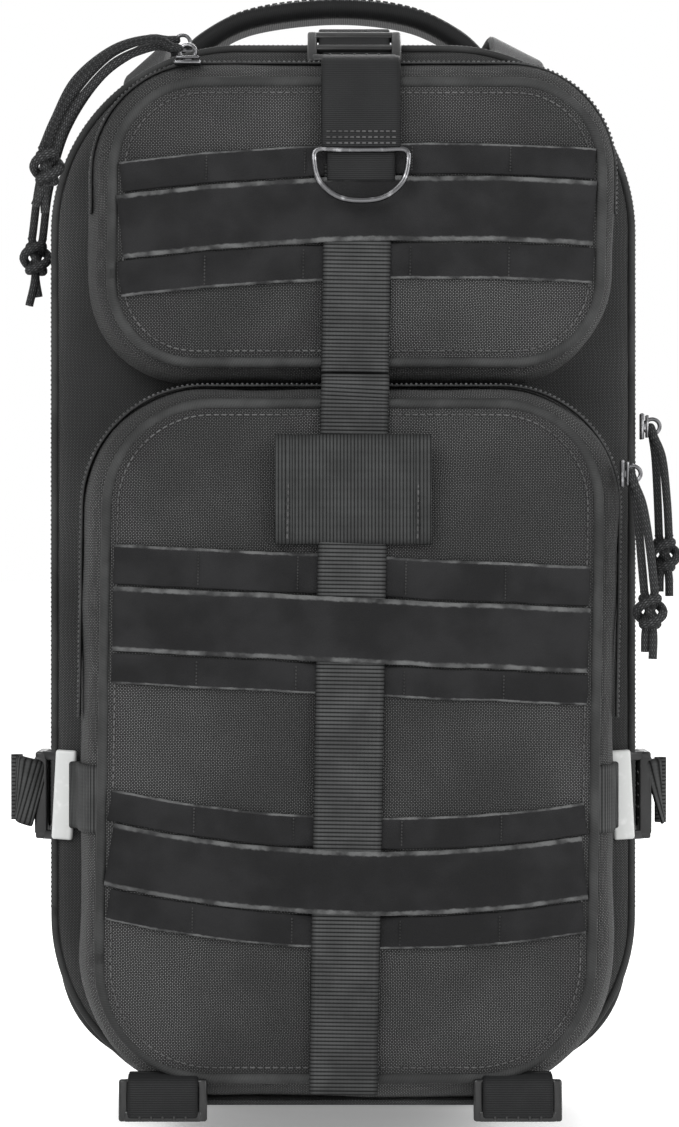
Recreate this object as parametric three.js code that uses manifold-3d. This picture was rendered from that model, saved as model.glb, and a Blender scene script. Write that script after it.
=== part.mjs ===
// Trauma backpack: two zipped compartments with two zipped pockets in front, webbing, buckles and cord pulls.
// Millimetres, +Z up, -Y is the front with the pockets, +Y is the wearer's side.
// The origin is on the ground, under the middle of the pack.
import * as THREE from 'three';
import { mergeVertices } from 'three/addons/utils/BufferGeometryUtils.js';
import Module from 'manifold-3d';

const wasm = await Module();
wasm.setup();

// Driving dimensions.
const GAP = 0.3;
const WALL = 3;
const BODY = { half: 127, low: 0, high: 479, lowRadius: 36, highRadius: 58, front: -20, back: 75 };
const FOLD = 40;
const SECOND = { half: 126, front: -60 };
const LOWER = { half: 113, low: 24, high: 326, radius: 40, front: -112 };
const UPPER = { half: 111, low: 331, high: 461, lowRadius: 30, highRadius: 40, front: -102 };
const PANEL = 3.7;
const CLOTH = 1.2;
const WEB = 1.6;
const WEB_HALF = 15;
const ZIP = { reach: 2.3, depth: 4 };
const CORD = 3.6;

// Loop bands, as [lower edge, upper edge] heights.
const UPPER_BANDS = { low: [370, 385], wide: [386, 413], high: [414, 427] };
const MIDDLE_BANDS = { low: [197.5, 210], wide: [211, 238], high: [239, 255.5] };
const LOWER_BANDS = { low: [95, 108.5], wide: [109.5, 136], high: [137, 150.5] };
const BAND_HALF = { upper: 100, lower: 99 };
const PATCH = { half: 32.5, low: 260, high: 306 };

const FINISH = {
  fabric: { color: 0x2b2c2d, roughness: 0.9, metalness: 0 },
  lining: { color: 0x252627, roughness: 0.95, metalness: 0 },
  loop: { color: 0x1b1b1c, roughness: 1, metalness: 0 },
  webbing: { color: 0x2e2f30, roughness: 0.8, metalness: 0 },
  plastic: { color: 0x1a1a1b, roughness: 0.35, metalness: 0 },
  metal: { color: 0x3a3b3c, roughness: 0.3, metalness: 1 },
  cord: { color: 0x1c1c1d, roughness: 0.85, metalness: 0 },
};

const pack = new THREE.Group();

/** Adds one named piece to the pack. */
function add(name, geometry, finish) {
  const mesh = new THREE.Mesh(geometry, new THREE.MeshStandardMaterial(FINISH[finish]));
  mesh.name = name;
  pack.add(mesh);
  return mesh;
}

/** Turns a closed geometry into a solid for joining and cutting. */
function solid(geometry) {
  const bare = geometry.clone();
  bare.deleteAttribute('normal');
  bare.deleteAttribute('uv');
  const merged = mergeVertices(bare, 1e-3);
  return new wasm.Manifold(new wasm.Mesh({
    numProp: 3,
    vertProperties: new Float32Array(merged.attributes.position.array),
    triVerts: new Uint32Array(merged.index.array),
  }));
}

/** Turns a solid back into a geometry. */
function geometryOf(body) {
  const mesh = body.getMesh();
  const geometry = new THREE.BufferGeometry();
  geometry.setAttribute('position', new THREE.BufferAttribute(new Float32Array(mesh.vertProperties), 3));
  geometry.setIndex(new THREE.BufferAttribute(new Uint32Array(mesh.triVerts), 1));
  return geometry;
}

function cut(geometry, ...tools) {
  return geometryOf(tools.reduce((body, tool) => body.subtract(solid(tool)), solid(geometry)));
}

function join(geometry, ...others) {
  return geometryOf(others.reduce((body, other) => body.add(solid(other)), solid(geometry)));
}

/** A box from its lowest to its highest corner. */
function box(low, high) {
  const size = high.map((value, axis) => value - low[axis]);
  const middle = high.map((value, axis) => (value + low[axis]) / 2);
  return new THREE.BoxGeometry(...size).translate(...middle);
}

/** Outline in the front view: a rectangle with round corners, drawn anticlockwise from the lower left. */
function outline(half, low, high, lowRadius, highRadius) {
  const shape = new THREE.Shape();
  shape.moveTo(-half + lowRadius, low);
  shape.lineTo(half - lowRadius, low);
  if (lowRadius > 0) shape.absarc(half - lowRadius, low + lowRadius, lowRadius, -Math.PI / 2, 0, false);
  shape.lineTo(half, high - highRadius);
  shape.absarc(half - highRadius, high - highRadius, highRadius, 0, Math.PI / 2, false);
  shape.lineTo(-half + highRadius, high);
  shape.absarc(-half + highRadius, high - highRadius, highRadius, Math.PI / 2, Math.PI, false);
  shape.lineTo(-half, low + lowRadius);
  if (lowRadius > 0) shape.absarc(-half + lowRadius, low + lowRadius, lowRadius, Math.PI, 1.5 * Math.PI, false);
  return shape;
}

/** A front-view shape made solid between two depths. */
function slab(shape, front, back) {
  const geometry = new THREE.ExtrudeGeometry(shape, {
    depth: back - front, bevelEnabled: false, steps: 1, curveSegments: 8,
  });
  return geometry.rotateX(Math.PI / 2).translate(0, back, 0);
}

/** Outline of a strip of even thickness along a bent line of [u, v] points. */
function stripShape(points, thickness) {
  const line = points.map(([u, v]) => new THREE.Vector2(u, v));
  const normals = line.map((point, i) => {
    const before = line[Math.max(i - 1, 0)];
    const after = line[Math.min(i + 1, line.length - 1)];
    const along = after.clone().sub(before).normalize();
    return new THREE.Vector2(-along.y, along.x).multiplyScalar(thickness / 2);
  });
  const left = line.map((point, i) => point.clone().add(normals[i]));
  const right = line.map((point, i) => point.clone().sub(normals[i])).reverse();
  return new THREE.Shape([...left, ...right]);
}

/** A strap whose bent line runs in the side view, as [y, z] points, and whose width runs along X. */
function strapAcrossX(points, thickness, xLow, xHigh) {
  const geometry = new THREE.ExtrudeGeometry(stripShape(points, thickness), {
    depth: xHigh - xLow, bevelEnabled: false, steps: 1,
  });
  const turn = new THREE.Matrix4().makeBasis(
    new THREE.Vector3(0, 1, 0), new THREE.Vector3(0, 0, 1), new THREE.Vector3(1, 0, 0));
  return geometry.applyMatrix4(turn).translate(xLow, 0, 0);
}

/** A strap whose bent line runs in the top view, as [x, y] points, and whose width runs along Z. */
function strapAcrossZ(points, thickness, zLow, zHigh) {
  const geometry = new THREE.ExtrudeGeometry(stripShape(points, thickness), {
    depth: zHigh - zLow, bevelEnabled: false, steps: 1,
  });
  return geometry.translate(0, 0, zLow);
}

/** Points along a smooth curve through hand-set points. */
function smooth(points, count) {
  const curve = new THREE.CatmullRomCurve3(points.map(([u, v]) => new THREE.Vector3(u, v, 0)));
  return curve.getPoints(count).map((point) => [point.x, point.y]);
}

/** A round cord through [x, y, z] points. */
function cordAlong(points, diameter, steps) {
  const ring = new THREE.Shape();
  ring.absarc(0, 0, diameter / 2, 0, 2 * Math.PI, false);
  const path = new THREE.CatmullRomCurve3(points.map((point) => new THREE.Vector3(...point)));
  return new THREE.ExtrudeGeometry(ring, {
    steps, bevelEnabled: false, extrudePath: path, curveSegments: 4,
  });
}

// Main compartment: an open-fronted tub, closed below the fold.
function mainShell() {
  const { half, low, high, lowRadius, highRadius, front, back } = BODY;
  const whole = slab(outline(half, low, high, lowRadius, highRadius), front, back);
  const room = slab(
    outline(half - WALL, low + WALL, high - WALL, lowRadius - WALL, highRadius - WALL),
    front + WALL, back - WALL);
  const mouth = slab(
    outline(half - WALL, FOLD, high - WALL, 0, highRadius - WALL), front - 1, front + WALL + 1);
  return cut(whole, room, mouth);
}

// Fixed base of the three front compartments: a tray under the fold.
function frontBase() {
  const shape = outline(LOWER.half, LOWER.low, FOLD - GAP, 12, 0.5);
  const room = slab(
    outline(LOWER.half - WALL, LOWER.low + WALL, FOLD + 5, 8, 0.5), LOWER.front + WALL, BODY.front - GAP - WALL);
  return cut(slab(shape, LOWER.front, BODY.front - GAP), room);
}

/** A ring-shaped wall between two depths. */
function gusset(half, low, high, lowRadius, highRadius, front, back) {
  const room = outline(half - WALL, low + WALL, high - WALL,
    Math.max(lowRadius - WALL, 0), highRadius - WALL);
  return cut(slab(outline(half, low, high, lowRadius, highRadius), front, back),
    slab(room, front - 1, back + 1));
}

// Second compartment: a tub open to the front that closes the main one.
function secondShell() {
  const low = FOLD + GAP;
  const whole = slab(outline(SECOND.half, low, BODY.high - 1, 1, BODY.highRadius), SECOND.front, BODY.front - GAP);
  const room = slab(
    outline(SECOND.half - WALL, low + WALL, BODY.high - 1 - WALL, 0, BODY.highRadius - WALL),
    SECOND.front - 1, BODY.front - GAP - WALL);
  return cut(whole, room);
}

/** Zip chain round the sides and top of a wall, ending above the fold or at a pocket's foot. */
function zipRound(half, high, radius, front, foot) {
  const inner = half + GAP;
  const outer = inner + ZIP.reach - GAP;
  const ring = slab(outline(outer, foot - 20, high + ZIP.reach, 0, radius + ZIP.reach), front, front + ZIP.depth);
  const hollow = slab(outline(inner, foot - 25, high + GAP, 0, radius + GAP), front - 1, front + ZIP.depth + 1);
  return cut(ring, hollow, box([-200, -200, foot - 40], [200, 200, foot]));
}

function bands(prefix, half, surface, set) {
  for (const [name, [low, high]] of Object.entries(set)) {
    const step = name === 'wide' ? 2 * GAP + CLOTH + GAP + WEB : GAP;
    const back = surface - step;
    add(`${prefix}_band_${name}`, box([-half, back - CLOTH, low], [half, back, high]), 'loop');
  }
}

add('main_shell', mainShell(), 'fabric');
add('front_base', frontBase(), 'fabric');
add('back_pad', slab(outline(108, 22, 462, 30, 40), BODY.back + GAP, BODY.back + 14), 'lining');

add('second_shell', secondShell(), 'fabric');
add('main_zip', zipRound(SECOND.half, BODY.high - 1, BODY.highRadius, BODY.front - GAP - ZIP.depth, 70), 'plastic');
add('second_panel',
  slab(outline(SECOND.half, FOLD + GAP, BODY.high - 1, 1, BODY.highRadius), SECOND.front - 3.3, SECOND.front - GAP),
  'fabric');
add('second_zip', zipRound(SECOND.half, BODY.high - 1, BODY.highRadius, SECOND.front - 3.3, 120), 'plastic');

const POCKET_BACK = SECOND.front - 3.3 - GAP;
add('lower_gusset',
  gusset(LOWER.half, FOLD + GAP, LOWER.high, 1, LOWER.radius, LOWER.front, POCKET_BACK), 'fabric');
add('upper_gusset',
  gusset(UPPER.half, UPPER.low, UPPER.high, UPPER.lowRadius, UPPER.highRadius, UPPER.front, POCKET_BACK), 'fabric');

const LOWER_FACE = LOWER.front - GAP - PANEL;
const UPPER_FACE = UPPER.front - GAP - PANEL;
add('lower_panel',
  slab(outline(LOWER.half - 3, FOLD + GAP, LOWER.high - 2, 1, LOWER.radius), LOWER_FACE, LOWER.front - GAP), 'fabric');
add('upper_panel',
  slab(outline(UPPER.half - 3, UPPER.low + 1, UPPER.high - 2, UPPER.lowRadius, UPPER.highRadius),
    UPPER_FACE, UPPER.front - GAP), 'fabric');
add('lower_zip', zipRound(LOWER.half, LOWER.high, LOWER.radius, LOWER.front, 150), 'plastic');
add('upper_zip', zipRound(UPPER.half, UPPER.high, UPPER.highRadius, UPPER.front, 400), 'plastic');

bands('upper', BAND_HALF.upper, UPPER_FACE, UPPER_BANDS);
bands('middle', BAND_HALF.lower, LOWER_FACE, MIDDLE_BANDS);
bands('lower', BAND_HALF.lower, LOWER_FACE, LOWER_BANDS);

// Ribbed webbing down the middle, over the narrow bands and under the wide ones and the patch.
function centreWebbing(surface, low, high) {
  const back = surface - GAP - CLOTH - GAP;
  return box([-WEB_HALF, back - WEB, low], [WEB_HALF, back, high]);
}
const PATCH_BACK = LOWER_FACE - 3 * GAP - CLOTH - WEB;
add('lower_centre_webbing', centreWebbing(LOWER_FACE, FOLD + GAP, UPPER.low - 3), 'webbing');
add('upper_centre_webbing', centreWebbing(UPPER_FACE, UPPER.low + 1, 403), 'webbing');
add('webbing_patch', box([-PATCH.half, PATCH_BACK - WEB, PATCH.low], [PATCH.half, PATCH_BACK, PATCH.high]), 'webbing');

// Top strap: from the ladder-lock over the upper pocket, down to the ring.
const RING_Y = UPPER_FACE - 7.2;
const RING_Z = 424;
const TOP_STRAP = [[-88, 467.5], [-98, 467], [-106, 464], [-110.5, 455], [-111, 442], [-111, RING_Z + 4]];
add('top_strap', strapAcrossX(TOP_STRAP, WEB, -16, 16), 'webbing');

/** A D-shaped ring of round wire, straight bar uppermost, in the front view. */
function dRing() {
  const half = 18;
  const route = [[-half, 0], [0, 0], [half, 0], [half, -8], [half * 0.8, -14], [half * 0.4, -18], [0, -19],
    [-half * 0.4, -18], [-half * 0.8, -14], [-half, -8]];
  const path = new THREE.CatmullRomCurve3(
    route.map(([x, z]) => new THREE.Vector3(x, RING_Y, RING_Z + z)), true, 'catmullrom', 0.3);
  const wire = new THREE.Shape();
  wire.absarc(0, 0, 1.8, 0, 2 * Math.PI, false);
  return new THREE.ExtrudeGeometry(wire, { steps: 32, bevelEnabled: false, extrudePath: path, curveSegments: 4 });
}
add('d_ring', dRing(), 'metal');

/** A ladder-lock lying in the X-Y plane: a frame with two slots and a crossbar, centred on the origin. */
function ladderLock(width, length, thickness) {
  const bar = 5;
  const slot = (length - 3 * bar) / 2;
  const inner = width / 2 - 4;
  const frame = new THREE.Shape();
  const halfWidth = width / 2;
  const halfLength = length / 2;
  frame.moveTo(-halfWidth + 3, -halfLength);
  frame.lineTo(halfWidth - 3, -halfLength);
  frame.lineTo(halfWidth, -halfLength + 3);
  frame.lineTo(halfWidth, halfLength - 3);
  frame.lineTo(halfWidth - 3, halfLength);
  frame.lineTo(-halfWidth + 3, halfLength);
  frame.lineTo(-halfWidth, halfLength - 3);
  frame.lineTo(-halfWidth, -halfLength + 3);
  for (const low of [-halfLength + bar, bar / 2]) {
    const hole = new THREE.Path();
    hole.moveTo(-inner, low);
    hole.lineTo(inner, low);
    hole.lineTo(inner, low + slot);
    hole.lineTo(-inner, low + slot);
    frame.holes.push(hole);
  }
  return new THREE.ExtrudeGeometry(frame, { depth: thickness, bevelEnabled: false }).translate(0, 0, -thickness / 2);
}

const TOP_LOCK = { y: -75, z: 474.5, tilt: THREE.MathUtils.degToRad(40) };
add('top_ladder_lock',
  ladderLock(40, 24, 3.5).rotateX(TOP_LOCK.tilt).translate(0, TOP_LOCK.y, TOP_LOCK.z), 'plastic');

// Grab handle: an arch of doubled webbing over the top.
function grabHandle() {
  const arch = smooth([[-68, 486], [-60, 499], [-38, 509], [0, 513], [38, 509], [60, 499], [68, 486]], 24);
  const shape = stripShape(arch, 5);
  return slab(shape, 33, 58);
}
add('grab_handle', grabHandle(), 'webbing');

for (const [side, name] of [[-1, 'left'], [1, 'right']]) {
  // Load lifter: webbing arched over the top rear edge.
  const lifter = smooth([[32, 481.5], [44, 490], [60, 496], [78, 490], [88, 470]], 12);
  const lifterX = [side * 74, side * 102].sort((a, b) => a - b);
  add(`load_lifter_${name}`, strapAcrossX(lifter, WEB, ...lifterX), 'webbing');

  // Shoulder strap: padded, bowed away from the back, with its webbing tail.
  const strap = smooth(
    [[97, 452], [111, 410], [117, 340], [115, 270], [106, 200], [100, 175]], 16);
  const tail = strapAcrossX([[100, 178], [96, 120], [92, 62]], 2.4, side * 50 - 12.5, side * 50 + 12.5);
  add(`shoulder_strap_${name}`,
    join(strapAcrossX(strap, 11, side * 50 - 31, side * 50 + 31), tail), 'fabric');

  // Side compression strap: sewn to the lower pocket, ending in its ladder-lock.
  const frontRoute = [[side * 114.2, -104], [side * 114.2, -86], [side * 120, -76], [side * 130.5, -68], [side * 131, -62]];
  add(`side_strap_front_${name}`, strapAcrossZ(frontRoute, WEB, 140, 168), 'webbing');
  add(`side_buckle_${name}`,
    ladderLock(38, 24, 4).rotateY(Math.PI / 2).translate(side * 132, -49, 151), 'plastic');
  const tailRoute = [[side * 136.2, -52], [side * 144, -50], [side * 153, -46]];
  add(`side_tail_${name}`, strapAcrossZ(tailRoute, 3.2, 138, 166), 'webbing');

  // Bottom strap, sewn to the front of the foot and run back under it, with the ladder-lock that hangs at its front.
  const bottomX = [side * 78 - 15, side * 78 + 15];
  add(`bottom_strap_${name}`, strapAcrossX(
    [[-113.6, 37.5], [-113.6, 24.5], [-111, 22], [-100, 21.8], [-60, 21.8], [-24.5, 14], [-22.5, 3]],
    WEB, ...bottomX), 'webbing');
  add(`bottom_ladder_lock_${name}`,
    ladderLock(38, 20, 3.5).rotateX(Math.PI / 2 - 0.12).translate(side * 78, -117.8, 27.5), 'plastic');
}

/** A zip slider with its bail, long side along the chain, which runs along X. */
function slider() {
  const body = box([-6, -3.5, 0], [6, 3.5, 4]);
  const bail = new THREE.TorusGeometry(3.2, 1, 6, 12).rotateX(Math.PI / 2).translate(0, 0, 5.5);
  return join(body, bail);
}

// Zip pulls: a slider, two strands of cord and the knot that joins them with two short tails.
const PULLS = {
  upper_pull: {
    at: [-66, -100, 463.6], turn: 0,
    strands: [
      [[-72.5, -104, 471], [-80, -111, 473], [-96, -116, 468], [-112, -117, 455], [-121, -117, 438], [-126, -117, 426]],
      [[-72.5, -99.5, 471], [-81, -105, 470.5], [-96, -113.5, 462.5], [-109, -114, 449], [-117, -114, 437], [-121, -114, 426]],
    ],
    knot: [-124, -118, 418], tails: [[-5, -1, -16], [-1, 1, -19]],
  },
  main_pull: {
    at: [-72, -22.5, 480.8], turn: 0,
    strands: [
      [[-78.5, -25, 487], [-88, -27, 487], [-106, -30, 478], [-124, -34, 455], [-134, -38, 425], [-138, -40, 396]],
      [[-78.5, -20, 487], [-90, -21, 484], [-108, -25, 471], [-123, -31, 447], [-130.5, -36, 420], [-133.5, -38, 396]],
    ],
    knot: [-136.2, -39.5, 387.5], tails: [[-3, -1, -21], [1, 1, -17]],
  },
  lower_pull: {
    at: [116.4, -110, 290], turn: 1,
    strands: [
      [[122.3, -112.5, 286], [126, -113, 276], [129, -112, 258], [131, -111, 240]],
      [[122.3, -107.5, 286], [124, -108, 275], [125.5, -108, 257], [127, -108, 240]],
    ],
    knot: [129.2, -109.8, 232], tails: [[1, -1, -20], [-2, 1, -17]],
  },
  second_pull: {
    at: [129.4, -61.6, 312], turn: 1,
    strands: [
      [[135.3, -64, 308], [139, -65, 298], [141, -65, 280], [142, -64, 264]],
      [[135.3, -59, 308], [136.5, -60, 298], [137.4, -61, 280], [138, -61, 264]],
    ],
    knot: [140.2, -62.5, 256], tails: [[2, -1, -18], [-2, 1, -16]],
  },
};

/** A round overhand knot with two cut cord tails. */
function knotWithTails(at, tails) {
  const body = new THREE.SphereGeometry(6, 10, 8).scale(1, 1, 1.2).translate(...at);
  const ends = tails.map((reach) => cordAlong(
    [at, at.map((value, i) => value + reach[i] * 0.5), at.map((value, i) => value + reach[i])], CORD, 3));
  return join(body, ...ends);
}

for (const [name, pull] of Object.entries(PULLS)) {
  const body = slider();
  if (pull.turn) body.rotateY(Math.PI / 2);
  add(`${name}_slider`, body.translate(...pull.at), 'metal');
  pull.strands.forEach((route, i) => add(`${name}_cord_${i + 1}`, cordAlong(route, CORD, 14), 'cord'));
  add(`${name}_knot`, knotWithTails(pull.knot, pull.tails), 'cord');
}

export default pack;
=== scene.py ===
"""Trauma backpack: sewn shells, pockets, webbing, zips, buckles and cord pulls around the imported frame."""

from __future__ import annotations

import logging
import math
from dataclasses import dataclass, replace
from enum import Enum
from typing import Callable, Iterable, Sequence

import bmesh
import bpy
from mathutils import Matrix, Vector, noise


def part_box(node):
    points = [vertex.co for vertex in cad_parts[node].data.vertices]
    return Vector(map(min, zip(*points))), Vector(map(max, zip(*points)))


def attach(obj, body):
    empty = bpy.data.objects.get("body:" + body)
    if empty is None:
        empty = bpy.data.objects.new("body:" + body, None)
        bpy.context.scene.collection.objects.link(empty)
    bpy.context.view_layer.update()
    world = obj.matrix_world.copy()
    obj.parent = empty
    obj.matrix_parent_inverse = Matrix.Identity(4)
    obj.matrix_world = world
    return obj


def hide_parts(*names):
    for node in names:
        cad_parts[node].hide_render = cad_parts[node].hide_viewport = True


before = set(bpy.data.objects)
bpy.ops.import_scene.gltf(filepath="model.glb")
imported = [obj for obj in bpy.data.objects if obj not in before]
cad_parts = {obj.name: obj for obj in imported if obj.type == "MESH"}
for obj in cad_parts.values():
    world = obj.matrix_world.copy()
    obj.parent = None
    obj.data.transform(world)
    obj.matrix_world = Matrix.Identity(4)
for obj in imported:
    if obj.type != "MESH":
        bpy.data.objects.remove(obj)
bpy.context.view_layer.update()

LOG = logging.getLogger("backpack")

MM = 0.001
SIDES = (("left", -1.0), ("right", 1.0))
X_AXIS, Y_AXIS, Z_AXIS = Vector((1, 0, 0)), Vector((0, 1, 0)), Vector((0, 0, 1))
CORD_THICK = 3.6 * MM
WEB_THICK = 1.9 * MM
FLOOR_GAP = 0.4 * MM
ROPE_SIDES = 10
FLAT_STEPS = 8
CURVE_STEPS = 16
BAND_GAP = 0.4 * MM
ABOVE_CLOTH = 2.2 * MM

Point = Sequence[float]
Section = list[tuple[float, float]]


# ---------------------------------------------------------------- shader building


class Tree:
    """A node tree with short calls for the nodes that the finishes use."""

    def __init__(self, tree: bpy.types.NodeTree) -> None:
        """Wraps an empty tree.

        Args:
            tree: the node tree to fill.
        """
        self.tree = tree

    def node(self, kind: str, **settings: object) -> bpy.types.Node:
        """Adds a node.

        Args:
            kind: the node's type name.
            settings: attributes to set on it.

        Returns:
            The new node.
        """
        made = self.tree.nodes.new(kind)
        for key, value in settings.items():
            setattr(made, key, value)
        return made

    def put(self, value: object, socket: bpy.types.NodeSocket) -> None:
        """Links a socket, or sets a constant."""
        if isinstance(value, bpy.types.NodeSocket):
            self.tree.links.new(value, socket)
        else:
            socket.default_value = value

    def math(self, operation: str, a: object, b: object = None, c: object = None) -> bpy.types.NodeSocket:
        """Adds a Math node.

        Args:
            operation: its operation.
            a: first value or socket.
            b: second value or socket, if it has one.
            c: third value or socket, if it has one.

        Returns:
            Its result.
        """
        made = self.node("ShaderNodeMath", operation=operation)
        for value, socket in zip((a, b, c), made.inputs):
            if value is not None:
                self.put(value, socket)
        return made.outputs[0]

    def noise(self, vector: object, scale: float, detail: float = 2.0) -> bpy.types.NodeSocket:
        """Adds a Noise Texture and returns its value.

        Args:
            vector: coordinates to read.
            scale: noise scale.
            detail: finer layers.

        Returns:
            The noise value.
        """
        made = self.node("ShaderNodeTexNoise")
        self.put(vector, made.inputs["Vector"])
        made.inputs["Scale"].default_value = scale
        made.inputs["Detail"].default_value = detail
        return made.outputs[0]

    def ramp(self, value: object, low: float, high: float, to_low: float = 0.0,
             to_high: float = 1.0) -> bpy.types.NodeSocket:
        """Maps a value smoothly from one range to another.

        Args:
            value: the value or socket.
            low: where the source range starts.
            high: where it ends.
            to_low: result at the start.
            to_high: result at the end.

        Returns:
            The mapped value.
        """
        made = self.node("ShaderNodeMapRange", interpolation_type="SMOOTHSTEP")
        for number, name in ((low, 1), (high, 2), (to_low, 3), (to_high, 4)):
            made.inputs[name].default_value = number
        self.put(value, made.inputs[0])
        return made.outputs[0]

    def blend(self, factor: object, a: object, b: object) -> bpy.types.NodeSocket:
        """Mixes two colours.

        Args:
            factor: share of the second colour.
            a: first colour or socket.
            b: second colour or socket.

        Returns:
            The mixed colour.
        """
        made = self.node("ShaderNodeMix", data_type="RGBA")
        self.put(factor, made.inputs[0])
        for value, socket in ((a, made.inputs[6]), (b, made.inputs[7])):
            self.put((*value, 1.0) if isinstance(value, tuple) else value, socket)
        return made.outputs[2]

    def group(self, name: str, **values: object) -> bpy.types.Node:
        """Places a shared node group.

        Args:
            name: the group's name.
            values: its inputs by name.

        Returns:
            The group node.
        """
        made = self.node("ShaderNodeGroup", node_tree=bpy.data.node_groups[name])
        for key, value in values.items():
            self.put(value, made.inputs[key])
        return made


def new_group(name: str, inputs: Iterable[tuple[str, str]], outputs: Iterable[str]) -> tuple[Tree, dict,
        bpy.types.Node]:
    """Starts a shader node group.

    Args:
        name: the group's name.
        inputs: pairs of socket name and socket type.
        outputs: names of the value outputs.

    Returns:
        Its tree, its inputs by name, and its output node.
    """
    tree = bpy.data.node_groups.new(name, "ShaderNodeTree")
    for socket, kind in inputs:
        tree.interface.new_socket(socket, in_out="INPUT", socket_type=kind)
    for socket in outputs:
        tree.interface.new_socket(socket, in_out="OUTPUT", socket_type="NodeSocketFloat")
    made = Tree(tree)
    source = made.node("NodeGroupInput")
    return made, {s.name: s for s in source.outputs if s.name}, made.node("NodeGroupOutput")


def weave_cell_group() -> None:
    """Height of a plain weave from two thread coordinates."""
    t, given, out = new_group("weave_cell", (("S", "NodeSocketFloat"), ("T", "NodeSocketFloat")),
                              ("Height",))
    s, q = given["S"], given["T"]
    across = t.math("ABSOLUTE", t.math("SINE", t.math("MULTIPLY", s, math.pi)))
    along = t.math("ABSOLUTE", t.math("SINE", t.math("MULTIPLY", q, math.pi)))
    parity = t.math("FLOORED_MODULO", t.math("ADD", t.math("FLOOR", s), t.math("FLOOR", q)), 2.0)
    warp = t.math("MULTIPLY", across, t.math("MULTIPLY_ADD", along, 0.6, 0.4))
    weft = t.math("MULTIPLY", along, t.math("MULTIPLY_ADD", across, 0.6, 0.4))
    weft = t.math("MULTIPLY", weft, 0.7)
    mixed = t.math("ADD", t.math("MULTIPLY", warp, parity),
                   t.math("MULTIPLY", weft, t.math("SUBTRACT", 1.0, parity)))
    t.put(mixed, out.inputs["Height"])


def weave_group() -> None:
    """Plain weave on whichever two axes the surface lies along, with uneven threads."""
    t, given, out = new_group(
        "weave", (("Vector", "NodeSocketVector"), ("Normal", "NodeSocketVector"),
                  ("Threads", "NodeSocketFloat")),
        ("Height", "Patch"))
    bend = t.node("ShaderNodeVectorMath", operation="MULTIPLY_ADD")
    wander = t.node("ShaderNodeTexNoise")
    wander.inputs["Scale"].default_value = 60
    t.put(given["Vector"], wander.inputs["Vector"])
    t.put(wander.outputs[1], bend.inputs[0])
    bend.inputs[1].default_value = (0.0016, 0.0016, 0.0016)
    t.put(given["Vector"], bend.inputs[2])
    place, facing = t.node("ShaderNodeSeparateXYZ"), t.node("ShaderNodeSeparateXYZ")
    t.put(bend.outputs[0], place.inputs[0])
    t.put(given["Normal"], facing.inputs[0])
    threads = [t.math("MULTIPLY", axis, given["Threads"]) for axis in place.outputs]
    weights = [t.math("POWER", t.math("ABSOLUTE", axis), 6.0) for axis in facing.outputs]
    total = t.math("ADD", t.math("ADD", weights[0], weights[1]), t.math("ADD", weights[2], 0.0001))
    height: object = 0.0
    for weight, (a, b) in zip(weights, ((1, 2), (0, 2), (0, 1))):
        cell = t.group("weave_cell", S=threads[a], T=threads[b]).outputs[0]
        height = t.math("ADD", height, t.math("MULTIPLY", cell, weight))
    t.put(t.math("DIVIDE", height, total), out.inputs["Height"])
    t.put(t.noise(given["Vector"], 14, 4), out.inputs["Patch"])


def ribs_group() -> None:
    """Ribs across a strap, from its own map: across from 0 to 1, along in metres."""
    t, given, out = new_group(
        "ribs", (("Map", "NodeSocketVector"), ("Pitch", "NodeSocketFloat"), ("Yarns", "NodeSocketFloat")),
        ("Height", "Edge"))
    split = t.node("ShaderNodeSeparateXYZ")
    t.put(given["Map"], split.inputs[0])
    across, along = split.outputs[0], split.outputs[1]
    rib = t.math("ABSOLUTE", t.math("SINE",
                                    t.math("DIVIDE", t.math("MULTIPLY", along, math.pi), given["Pitch"])))
    yarn = t.math("ABSOLUTE",
                  t.math("SINE", t.math("MULTIPLY", t.math("MULTIPLY", across, math.pi), given["Yarns"])))
    height = t.math("MULTIPLY", t.math("POWER", rib, 0.7), t.math("MULTIPLY_ADD", yarn, 0.14, 0.86))
    side = t.math("ABSOLUTE", t.math("SUBTRACT", across, 0.5))
    t.put(height, out.inputs["Height"])
    t.put(t.ramp(side, 0.42, 0.49), out.inputs["Edge"])


def fuzz_group() -> None:
    """Fine brushed fibre: a height and a slow shade change."""
    t, given, out = new_group("fuzz", (("Vector", "NodeSocketVector"), ("Scale", "NodeSocketFloat")),
                              ("Height", "Shade"))
    fine = t.node("ShaderNodeTexNoise")
    t.put(given["Vector"], fine.inputs["Vector"])
    t.put(given["Scale"], fine.inputs["Scale"])
    fine.inputs["Detail"].default_value = 4
    t.put(fine.outputs[0], out.inputs["Height"])
    t.put(t.noise(given["Vector"], 45, 3), out.inputs["Shade"])


class Coordinates(Enum):
    """Where a finish reads its pattern from."""

    OBJECT = "Object"
    MAP = "UV"


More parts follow.
